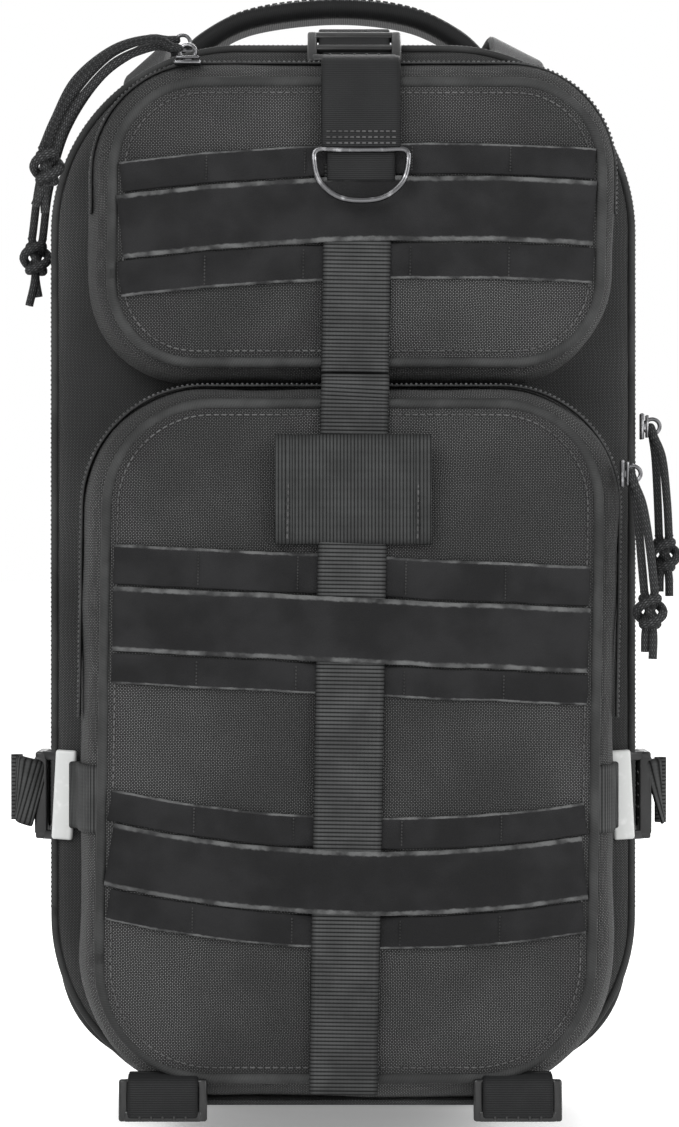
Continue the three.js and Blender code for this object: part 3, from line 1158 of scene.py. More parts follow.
@dataclass
class Pull:
    """A zip pull: slider, two strands and a knot, with the routes of the CAD cords in millimetres."""

    name: str
    slider_body: str
    strands: tuple[tuple[Point, ...], tuple[Point, ...]]
    knot: Point
    tails: tuple[Point, Point]
    upright: bool

    def build(self) -> None:
        """Makes the slider, strands and knot."""
        self.build_slider()
        knot = self.build_knot()
        dress(knot, CORD, self.name, "cord", f"{self.name}_knot")
        for i, route in enumerate(self.strands):
            path = curve_through([Vector(p) * MM for p in route], 48)
            strand = sweep(f"{self.name}_strand_{i + 1}", path, round_section(CORD_THICK / 2, ROPE_SIDES))
            dress(strand, CORD, self.name, "cord", f"{self.name}_cord_{i + 1}")

    def build_knot(self) -> bpy.types.Object:
        """Makes the overhand knot, with its tails, the leads into it and the loop at the slider.

        Returns:
            The knot.
        """
        centre = Vector(self.knot) * MM
        turns = []
        for i in range(72):
            angle, tube = 2 * math.pi * 3 * i / 72, 2 * math.pi * 2 * i / 72
            r = 3.7 * MM + 1.8 * MM * math.cos(tube)
            turns.append(centre + Vector((r * math.cos(angle), r * math.sin(angle) * 0.9,
                                          5.6 * MM * math.sin(tube))))
        parts = [sweep(f"{self.name}_tied_knot", turns, round_section(2.0 * MM, 10), closed=True)]
        ropes = []
        for i, reach in enumerate(self.tails):
            end = centre + Vector(reach) * MM
            ropes.append([centre, centre.lerp(end, 0.5) + Vector((0.8 * MM * (1 - 2 * i), 0, 0)), end])
        starts, ends = ([Vector(route[at]) * MM for route in self.strands] for at in (0, -1))
        nexts = [Vector(route[1]) * MM for route in self.strands]
        for end in ends:
            ropes.append([end + (end - centre) * 0.12, end.lerp(centre, 0.5), centre])
        back = (starts[0] * 2 - nexts[0] - nexts[1] + starts[1] * 2) / 2 - (starts[0] + starts[1]) / 2
        tip = (starts[0] + starts[1]) / 2 + back.normalized() * 4.2 * MM
        ropes.append([starts[0].lerp(nexts[0], 0.2), starts[0], tip, starts[1],
                      starts[1].lerp(nexts[1], 0.2)])
        for i, rope in enumerate(ropes):
            parts.append(sweep(f"{self.name}_rope_{i}", curve_through(rope, 14),
                               round_section(CORD_THICK / 2, ROPE_SIDES)))
        return joined(parts)

    def build_slider(self) -> None:
        """Makes the die-cast slider with its bridge and wire bail."""
        low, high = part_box(f"{self.name}_slider")
        middle = (low + high) / 2
        turn = Matrix.Rotation(math.pi / 2, 4, "Y") if self.upright else Matrix.Identity(4)
        outer = turn.to_3x3() @ Z_AXIS
        base = middle - outer * (abs((high - low).dot(outer)) / 2)
        mesh = bmesh.new()
        for rise, size, bevel in ((1.0, (11.5, 7, 1.6), 0.6), (3.2, (10, 5.6, 1.2), 0.5),
                                  (2.1, (3, 3.4, 2.2), 0.4)):
            bar(mesh, base + outer * rise * MM, [s * MM for s in size], bevel * MM, turn)
        body = finished(f"{self.name}_cast_slider", mesh)
        ring = [base + outer * 5.5 * MM + turn.to_3x3() @ Vector(
            (3.3 * MM * math.cos(2 * math.pi * i / 24), 0, 3.3 * MM * math.sin(2 * math.pi * i / 24)))
            for i in range(24)]
        bail = sweep(f"{self.name}_bail", ring, round_section(0.9 * MM, 8), closed=True)
        dress(joined([body, bail]), METAL, self.slider_body, "metal", f"{self.name}_slider")


def joined(parts: Sequence[bpy.types.Object]) -> bpy.types.Object:
    """Joins pieces into the first of them.

    Args:
        parts: the pieces.

    Returns:
        The joined piece.
    """
    mesh = bmesh.new()
    for part in parts:
        mesh.from_mesh(part.data)
    for part in parts[1:]:
        bpy.data.objects.remove(part)
    mesh.to_mesh(parts[0].data)
    mesh.free()
    return parts[0]


PULLS = (
    Pull("upper_pull", "upper_pull_slider", (
        ((-72.5, -104, 471), (-80, -111, 473), (-96, -116, 468), (-112, -117, 455), (-121, -117, 438),
         (-126, -117, 426)),
        ((-72.5, -99.5, 471), (-81, -105, 470.5), (-96, -113.5, 462.5), (-109, -114, 449),
         (-117, -114, 437),
         (-121, -114, 426))),
        (-124, -118, 418), ((-5, -1, -16), (-1, 1, -19)), False),
    Pull("main_pull", "main_flap", (
        ((-78.5, -25, 487), (-88, -27, 487), (-106, -30, 478), (-124, -34, 455), (-134, -38, 425),
         (-138, -40, 396)),
        ((-78.5, -20, 487), (-90, -21, 484), (-108, -25, 471), (-123, -31, 447), (-130.5, -36, 420),
         (-133.5, -38, 396))),
        (-136.2, -39.5, 387.5), ((-3, -1, -21), (1, 1, -17)), False),
    Pull("lower_pull", "lower_pull_slider", (
        ((122.3, -112.5, 286), (126, -113, 276), (129, -112, 258), (131, -111, 240)),
        ((122.3, -107.5, 286), (124, -108, 275), (125.5, -108, 257), (127, -108, 240))),
        (129.2, -109.8, 232), ((1, -1, -20), (-2, 1, -17)), True),
    Pull("second_pull", "second_pull_slider", (
        ((135.3, -64, 308), (139, -65, 298), (141, -65, 280), (142, -64, 264)),
        ((135.3, -59, 308), (136.5, -60, 298), (137.4, -61, 280), (138, -61, 264))),
        (140.2, -62.5, 256), ((2, -1, -18), (-2, 1, -16)), True),
)


@dataclass
class Bag:
    """The sewn shells of the two compartments and the base."""

    shell: Outline = Outline(0.1265, 0.001, 0.478, 0.080, 0.078)
    second: Outline = Outline(0.1255, 0.0225, 0.4765, 0.080, 0.076)

    def build(self) -> None:
        """Makes the shells, their binding and the base."""
        back_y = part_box("main_shell")[1].y
        seam = -0.0205
        inner = self.shell.grown(-0.010)
        shell = skin("sewn_main_shell", inner, lambda x, z: back_y - 0.001,
                     [(back_y - 0.0015, 0.004), (back_y - 0.005, 0.008), (back_y - 0.011, 0.010),
                      (0.05, 0.0105),
                      (0.035, 0.011), (0.02, 0.0112), (0.005, 0.011), (-0.010, 0.0102), (seam, 0.009)],
                      seed=3.0, waves=0.0016,
                     shape=tucked)
        dress(shell, SHELL_NYLON, "root", "fabric", "main_shell")
        second = skin("sewn_second_shell", self.second.grown(-0.005), lambda x, z: -0.0225,
                      [(-0.0222, 0.003), (-0.024, 0.0055), (-0.032, 0.0066), (-0.042, 0.0068),
                       (-0.052, 0.0060),
                       (-0.0600, 0.0048)], seed=5.0, waves=0.0014)
        dress(second, SHELL_NYLON, "main_flap", "fabric", "second_shell")
        wall = skin("sewn_second_panel", self.second.grown(-0.006), lambda x, z: -0.0640,
                    [(-0.0636, 0.003), (-0.0620, 0.0055), (-0.0608, 0.0055)], wall=0.0018, seed=7.0,
                    waves=0.0006)
        dress(wall, SHELL_NYLON, "second_flap", "fabric", "second_panel")
        base = skin("inner_base", Outline(0.074, 0.0231, 0.0252, 0.001, 0.001), lambda x, z: -0.104,
                    [(-0.085, 0.0), (-0.06, 0.0), (-0.03, 0.0)], waves=0.0, step=0.003, wall=0.0)
        dress(base, SHELL_NYLON, "root", "fabric", "front_base")
        for name, outline, y, body in (("main_binding", self.shell.grown(-0.0005), seam, "root"),
                                       ("second_binding", self.second.grown(0.0003), -0.0618,
                                        "second_flap"),
                                       ("back_binding", self.shell.grown(-0.004), back_y - 0.004, "root")):
            route = [tucked(p) if body == "root" else p for p in outline.route(y)]
            edge = sweep(name, route, round_section(1.7 * MM, 8), closed=True)
            dress(edge, BINDING, body, "fabric")


@dataclass
class Pocket:
    """A zipped pocket: gusset, domed panel, piping, top stitching and bands."""

    name: str
    flap: str
    gusset: Outline
    inset: float
    face: PocketFace
    bands: tuple[Band, ...]
    depth: tuple[float, float]

    def build(self) -> None:
        """Makes the cloth parts of the pocket."""
        front, back = self.depth
        outline = self.face.outline
        span = back - front
        rings = [(front + span * a, -self.inset * b) for a, b in
                 ((0.0, 0.75), (0.05, 0.45), (0.13, 0.18), (0.24, 0.02), (0.42, -0.10), (0.62, -0.10),
                  (0.82, 0.0), (1.0, 0.06))]
        ring = skin(f"sewn_{self.name}_gusset", self.gusset.grown(-self.inset), lambda x, z: front - 0.001,
                    [(y, self.inset + outset) for y, outset in rings], keep_face=False, waves=0.0021,
                    seed=11.0, shape=leant)
        dress(ring, NYLON, "second_flap", "fabric", f"{self.name}_gusset")
        panel = skin(f"sewn_{self.name}_panel", outline, self.face.depth,
                     [(self.face.base + 0.0012, 0.0012), (self.face.base + 0.003, 0.0012)], waves=0.0,
                     step=0.004,
                     wall=0.0016, shape=leant)
        dress(panel, NYLON, self.flap, "fabric", f"{self.name}_panel")
        path = [leant(p) for p in outline.grown(0.0012).route(self.face.base + 0.0008)]
        dress(sweep(f"{self.name}_piping", path, round_section(2.3 * MM, 10), closed=True), BINDING,
              self.flap, "fabric")
        inner = [self.face.over(p.x, p.z, 0.0002) for p in outline.grown(-0.0035).route(0.0, 0.006)]
        dress(stitches(f"{self.name}_top_stitch", [inner + inner[:1]], 3.2 * MM, 0.35 * MM), THREAD,
              self.flap, "fabric")
        for band in self.bands:
            self.build_band(band)

    def hide_inner_edge(self, piece: bpy.types.Object, upper: bool) -> None:
        """Keeps a narrow band's frayed line off the edge that lies under the wide band.

        Args:
            piece: the band.
            upper: whether it is the upper one of its set.
        """
        for corner in piece.data.uv_layers.active.data:
            u = corner.uv[0]
            corner.uv[0] = max(u, 0.5) if upper else min(u, 0.5)

    def build_band(self, band: Band) -> None:
        """Makes one loop band, wide ones bridging the centre webbing.

        Args:
            band: the band.
        """
        count = 90
        path = []
        for i in range(count + 1):
            x = band.half * (2 * i / count - 1)
            z = band.height(x)
            over = 0.8 * MM
            if band.wide:
                over += 3.0 * MM * (1 - min(max((abs(x) - 0.015) / 0.010, 0.0), 1.0))
            ripple = noise.noise(Vector((x * 40, band.low * 30, 2.0))) * 0.35 * MM
            path.append(self.face.over(x, z + ripple, over))
        piece = sweep(f"sewn_{band.name}", path, strap_section(band.high - band.low, 1.5 * MM, FLAT_STEPS),
                      Z_AXIS)
        crease_edges(piece, 0.25 * MM, band.low * 100)
        if not band.wide:
            self.hide_inner_edge(piece, band.name.endswith("high"))
        dress(piece, LOOP, self.flap, "loop", band.name)
        rows = []
        for x in (-0.064, -0.0225, 0.0225, 0.064):
            mid = band.height(x)
            reach = (band.high - band.low) / 2 - 0.0012
            rows.append([self.face.over(x, mid + share * reach, 1.75 * MM) for share in (-1, 0, 1)])
        if not band.wide:
            dress(stitches(f"{band.name}_tacks", rows, 1.3 * MM, 0.32 * MM), DARK_THREAD, self.flap, "loop")


def crease_edges(obj: bpy.types.Object, amount: float, seed: float) -> None:
    """Roughens a soft strap's mesh a little so that its edges aren't ruler-straight.

    Args:
        obj: the piece.
        amount: most movement.
        seed: picks the pattern.
    """
    mesh = bmesh.new()
    mesh.from_mesh(obj.data)
    crumple(mesh, amount, 160, seed)
    mesh.to_mesh(obj.data)
    mesh.free()


def band_set(prefix: str, half: float, edges: Sequence[float], arch: float, tilt: float) -> tuple[Band,
        ...]:
    """The narrow, wide and narrow band of one set.

    Args:
        prefix: the CAD nodes' prefix.
        half: half the length.
        edges: four edge heights, from the lowest.
        arch: how far the ends drop below the middle.
        tilt: how far the right end rises above the middle.

    Returns:
        The bands.
    """
    names = ("low", "wide", "high")
    return tuple(Band(f"{prefix}_band_{name}", edges[i] + BAND_GAP, edges[i + 1] - BAND_GAP, half, arch,
                      tilt, name == "wide")
                 for i, name in enumerate(names))


@dataclass
class Webbing:
    """The webbing down the middle, the patch and the top strap."""

    lower: PocketFace
    upper: PocketFace
    half: float = 0.0143

    def build(self) -> None:
        """Makes every stretch of webbing on the front."""
        lower_low, lower_high = 0.030, 0.322
        count = 64
        path = []
        for i in range(count + 1):
            z = lower_low + (lower_high - lower_low) * i / count
            path.append(self.lower.over(0.0, max(z, self.lower.outline.low + 0.001), ABOVE_CLOTH))
            path[-1].z = z
        bridge = [Vector((lean_of(z) + 0.0002, y, z)) for y, z in
                  ((-0.1188, 0.3255), (-0.1165, 0.3312))]
        whole = curve_through(path[::4] + bridge, 90)
        dress(sweep("sewn_lower_webbing", whole, strap_section(2 * self.half, WEB_THICK, FLAT_STEPS),
                    X_AXIS),
              WEBBING, "lower_flap", "webbing", "lower_centre_webbing")
        steps, base, top = 16, self.upper.outline.low + 0.004, 0.420
        foot = [Vector((lean_of(z), y, z)) for y, z in ((-0.1120, 0.3322), (-0.1105, 0.3365))]
        rise = [self.upper.over(0.0, base + (top - base) * i / steps, ABOVE_CLOTH)
                for i in range(steps + 1)]
        dress(sweep("sewn_upper_webbing", curve_through(foot + rise, 50),
                    strap_section(2 * self.half, WEB_THICK, FLAT_STEPS), X_AXIS),
              WEBBING, "upper_flap", "webbing", "upper_centre_webbing")
        self.build_patch()
        self.build_top_strap()

    def build_patch(self) -> None:
        """The stitched webbing patch with folded side hems, its ribs upright."""
        low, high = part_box("webbing_patch")
        count = 60
        mid = (low.z + high.z) / 2
        path = []
        for i in range(count + 1):
            x = low.x + (high.x - low.x) * i / count
            rise = 4.2 * MM + (0.9 * MM if abs(x) > high.x - 0.0055 else 0.0)
            path.append(self.lower.over(x, mid, rise))
        patch = sweep("sewn_patch", path, strap_section(high.z - low.z, 2.2 * MM, 10), Z_AXIS)
        dress(patch, PATCH_WEB, "lower_flap", "webbing", "webbing_patch")
        rows = []
        for x in (low.x + 0.0055, high.x - 0.0055):
            rows.append([self.lower.over(x, z, 6.0 * MM) for z in (low.z + 0.002, mid, high.z - 0.002)])
        dress(stitches("patch_stitch", rows, 3.0 * MM, 0.4 * MM), THREAD, "lower_flap", "webbing")

    def build_top_strap(self) -> None:
        """The smooth strap from the ladder-lock to the ring, with its bar of stitching."""
        lean = lean_of(0.45) + 0.0006
        side = [(-0.0745, 0.4730), (-0.0830, 0.4672), (-0.0920, 0.4672), (-0.1000, 0.4668),
                (-0.1055, 0.4630),
                (-0.1092, 0.4560), (-0.1122, 0.4450), (-0.1140, 0.4340), (-0.1150, 0.4270)]
        path = curve_through([(lean, y, z) for y, z in side], 50)
        dress(sweep("sewn_top_strap", path, strap_section(0.0335, 2.0 * MM, FLAT_STEPS), X_AXIS),
              SMOOTH_WEB, "upper_flap",
              "webbing", "top_strap")
        rows = []
        for z in (0.4335, 0.4310, 0.4285):
            rows.append([Vector((lean + x, -0.1153 - (0.4335 - z) * 0.11, z))
                         for x in (-0.0150, 0.0, 0.0150)])
        dress(stitches("strap_stitch", rows, 2.4 * MM, 0.4 * MM), THREAD, "upper_flap", "webbing")
        keeper = curve_through([(lean, y, z) for y,
                                z in ((-0.1122, 0.4330), (-0.1128, 0.4270), (-0.1126, 0.4200),
                                                         (-0.1130, 0.4130))], 20)
        dress(sweep("ring_keeper", keeper, strap_section(0.029, 1.8 * MM, FLAT_STEPS), X_AXIS), SMOOTH_WEB,
              "upper_flap", "webbing")


@dataclass
class Zip:
    """A coil zip: its tape and its coil, over the sides and top of a shell."""

    name: str
    body: str
    outline: Outline
    depth: float
    foot: float
    lean: bool = False

    def build(self) -> None:
        """Makes the tape and the coil's teeth as two pieces."""
        route = self.outline.route(self.depth, 0.004, self.foot)
        if self.lean:
            route = [leant(p) for p in route]
        tape = sweep(f"{self.name}_tape", route, strap_section(6.0 * MM, 0.8 * MM, 3), Y_AXIS)
        dress(tape, BINDING, self.body, "plastic", self.name)
        length = sum((b - a).length for a, b in zip(route, route[1:]))
        spots = curve_through(route, int(length / (2.1 * MM)))
        frames = frames_along(spots, Y_AXIS, False)
        places = []
        for spot, (side, up) in zip(spots, frames):
            middle = Vector((0, spot.y, self.outline.middle))
            out = up if up.dot(spot - middle) > 0 else -up
            turn = Matrix((side.cross(out), side, out)).transposed().to_4x4()
            places.append(Matrix.Translation(spot + out * 0.55 * MM) @ turn)
        coil = repeated(f"{self.name}_coil", (1.15 * MM, 3.4 * MM, 1.2 * MM), 0.25 * MM, places)
        dress(coil, COIL, self.body, "plastic")


def ladder_lock(name: str, width: float, length: float, thick: float, place: Matrix) -> bpy.types.Object:
    """A ladder-lock: two side rails, three bars, and a grip lip along the front bar.

    Args:
        name: the piece's name.
        width: across the strap.
        length: along the strap.
        thick: its thickness.
        place: where it goes; width runs along its X and length along its Y.

    Returns:
        The new object.
    """
    mesh = bmesh.new()
    rail = 4.2 * MM
    for sign in (-1, 1):
        bar(mesh, (sign * (width - rail) / 2, 0, 0), (rail, length, thick), 1.1 * MM)
    for y, tall, deep in ((-length / 2 + 2.2 * MM, thick * 1.15, 4.6 * MM), (0.0, thick * 0.8, 3.6 * MM),
                          (length / 2 - 2.0 * MM, thick * 0.9, 4.2 * MM)):
        bar(mesh, (0, y, 0), (width - rail, deep, tall), 1.0 * MM)
    for i in range(5):
        bar(mesh, ((i - 2) * width * 0.13, -length / 2 + 2.2 * MM, thick * 0.62),
            (1.1 * MM, 3.4 * MM, 0.8 * MM), 0.3 * MM)
    bmesh.ops.transform(mesh, matrix=place, verts=mesh.verts)
    return finished(name, mesh)


@dataclass
class Hardware:
    """Ladder-locks, ring and the straps through them."""

    strap: float = 0.029
    top_lock: Point = (0.0405, 0.024, 4.2 * MM)
    bottom_lock: Point = (0.037, 0.0175, 4.2 * MM)
    side_thick: float = 5.0 * MM
    # face: size of the pale painted-highlight bar on each side lock.
    face: Point = (9.4 * MM, 3.4 * MM, 39 * MM)
    arm: Point = (11.5 * MM, 2.6 * MM, 4.0 * MM)
    arm_rise: float = 0.0172
    ring_wire: float = 1.3 * MM
    inward: tuple[float, float] = (0.0025, -0.0050)

    def build(self) -> None:
        """Makes every hard part and its short straps."""
        self.build_top()
        self.build_ring()
        for name, side in SIDES:
            self.build_side(name, side)
            self.build_bottom(name, side)

    def build_top(self) -> None:
        """The top ladder-lock and the webbing that holds it."""
        low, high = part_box("top_ladder_lock")
        middle = (low + high) / 2
        lean = lean_of(0.45) * 0.7
        place = Matrix.Translation(middle + Vector((lean, 0, 0))) @ Matrix.Rotation(math.radians(40), 4,
                "X")
        dress(ladder_lock("moulded_top_lock", *self.top_lock, place), PLASTIC, "top_lock", "plastic",
              "top_ladder_lock")
        path = curve_through([(lean, -0.0745, 0.4745), (lean, -0.0670, 0.4815), (lean, -0.062, 0.4845),
                              (lean, -0.050, 0.4825),
                              (lean, -0.036, 0.4812)], 24)
        dress(sweep("top_lock_anchor", path, strap_section(0.031, WEB_THICK, FLAT_STEPS), X_AXIS),
              SMOOTH_WEB, "second_flap", "webbing")

    def build_ring(self) -> None:
        """The metal D-ring."""
        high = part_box("d_ring")[1]
        lean = lean_of(0.42) + 0.0012
        top = high.z - 0.0005
        route = [(-18.8, 0, 0), (-9, 0.2, 0), (0, 0.2, 0), (9, 0.2, 0), (18.8, 0, 0), (19.6, -6, -0.8),
                 (17.6, -13, -2.0),
                 (12.0, -18.6, -3.2), (5, -21.2, -3.6), (-5, -21.2, -3.6), (-12.0, -18.6, -3.2),
                 (-17.6, -13, -2.0),
                 (-19.6, -6, -0.8)]
        path = curve_through([(lean + x * MM, -0.1146 + y * MM, top + z * MM) for x, z, y in route], 96,
                             closed=True)
        dress(sweep("forged_d_ring", path, round_section(self.ring_wire, 12), closed=True), METAL, "ring",
              "metal", "d_ring")

    def build_side(self, name: str, side: float) -> None:
        """A side compression strap, its ladder-lock and the folded loose end.

        Args:
            name: left or right, for the pieces' names.
            side: -1 for left, 1 for right.
        """
        front = [(side * 0.1000, -0.1135, 0.153), (side * 0.1075, -0.1105, 0.153),
                 (side * 0.1125, -0.101, 0.153),
                 (side * 0.1142, -0.088, 0.153), (side * 0.1160, -0.072, 0.152),
                 (side * 0.1235, -0.0595, 0.151)]
        lean = [leant(Vector(p)) for p in front]
        strap = sweep(f"sewn_side_strap_{name}", curve_through(lean, 40),
                      strap_section(self.strap, WEB_THICK, FLAT_STEPS), Z_AXIS)
        dress(strap, WEBBING, "second_flap", "webbing", f"side_strap_front_{name}")
        low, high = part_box(f"side_buckle_{name}")
        middle = (low + high) / 2
        turn = Matrix((Vector((0, 0, 1)), Vector((0, 1, 0)), Vector((-1, 0, 0)))).transposed().to_4x4()
        place = Matrix.Translation(middle) @ turn
        lock = ladder_lock(f"moulded_side_lock_{name}", high.z - low.z, high.y - low.y, self.side_thick,
                           place)
        arms = bmesh.new()
        for rise in (-self.arm_rise, self.arm_rise):
            bar(arms, (side * 0.1267, low.y - 0.0007, middle.z + rise), self.arm, 0.8 * MM,
                Matrix.Rotation(side * math.radians(31), 4, "Z"))
        lock = joined([lock, finished(f"side_lock_arms_{name}", arms)])
        dress(lock, PLASTIC, f"side_lock_{name}", "plastic", f"side_buckle_{name}")
        # A pale bar on the lock's outer cheek: painted highlight of the side light on the black plastic.
        mesh = bmesh.new()
        bar(mesh, (side * 0.1214, low.y - 0.0040, middle.z + 0.0005), self.face, 1.3 * MM,
            Matrix.Rotation(side * math.radians(10), 4, "Z")
            @ Matrix.Rotation(side * math.radians(-3), 4, "Y"))
        dress(finished(f"side_lock_face_{name}", mesh), PAINTED_HIGHLIGHT, f"side_lock_{name}", "plastic")
        anchor = curve_through([(side * 0.1285, -0.0405, 0.151), (side * 0.1310, -0.034, 0.151),
                                (side * 0.1295, -0.024, 0.151),
                                (side * 0.1290, 0.010, 0.151), (side * 0.1290, 0.040, 0.151)], 30)
        dress(sweep(f"side_anchor_{name}", anchor, strap_section(self.strap, WEB_THICK, FLAT_STEPS),
                    Z_AXIS), WEBBING, "root", "webbing")
        self.build_tail(name, side)

    def build_tail(self, name: str, side: float) -> None:
        """The loose end, folded over.

        Args:
            name: left or right, for the pieces' names.
            side: -1 for left, 1 for right.
        """
        if side < 0:
            route = [(0.1325, -0.0600), (0.1362, -0.0612), (0.1400, -0.0602), (0.1430, -0.0560)]
        else:
            route = [(0.1352, -0.0590), (0.1366, -0.0588), (0.1380, -0.0580), (0.1390, -0.0565)]
        path = curve_through([(side * x, y, 0.1515 + (x - 0.1335) * 0.30) for x, y in route], 20)
        tail = sweep(f"sewn_side_tail_{name}", path, strap_section(self.strap, 3.4 * MM, FLAT_STEPS),
                     Z_AXIS)
        end = path[-1]
        fold = sweep(f"side_tail_fold_{name}",
                     [end + Vector((0, 0, dz)) for dz in (-0.0142, -0.005, 0.005, 0.0142)],
                     round_section(2.6 * MM, 10))
        dress(joined([tail, fold]), WEBBING, f"side_end_{name}", "webbing", f"side_tail_{name}")

    def build_bottom(self, name: str, side: float) -> None:
        """A bottom strap and the ladder-lock at its front end.

        Args:
            name: left or right, for the pieces' names.
            side: -1 for left, 1 for right.
        """
        low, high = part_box(f"bottom_ladder_lock_{name}")
        middle = (low + high) / 2 + Vector((self.inward[side > 0], 0, 0))
        place = Matrix.Translation(middle) @ Matrix.Rotation(math.pi / 2 - 0.12, 4, "X")
        lock = ladder_lock(f"moulded_bottom_lock_{name}", *self.bottom_lock, place)
        dress(lock, PLASTIC, "root", "plastic", f"bottom_ladder_lock_{name}")
        x = middle.x
        path = curve_through([(x, -0.1120, 0.0385), (x, -0.1140, 0.0340), (x, -0.1165, 0.0290),
                              (x, -0.1150, 0.0240),
                              (x, -0.1080, 0.0222), (x, -0.0800, 0.0218), (x, -0.0500, 0.0215),
                              (x, -0.0260, 0.0190),
                              (x, -0.0120, 0.0150)], 60)
        dress(sweep(f"sewn_bottom_strap_{name}", path, strap_section(self.strap, WEB_THICK, FLAT_STEPS),
                    X_AXIS), WEBBING, "root",
              "webbing", f"bottom_strap_{name}")
        fold = curve_through([(x, -0.1140, 0.0375), (x, -0.1192, 0.0350), (x, -0.1212, 0.0290),
                              (x, -0.1208, 0.0225),
                              (x, -0.1190, 0.0195)], 24)
        dress(sweep(f"bottom_strap_fold_{name}", fold, strap_section(0.0296, 2.2 * MM, FLAT_STEPS), X_AXIS),
              SMOOTH_WEB, "root",
              "webbing")


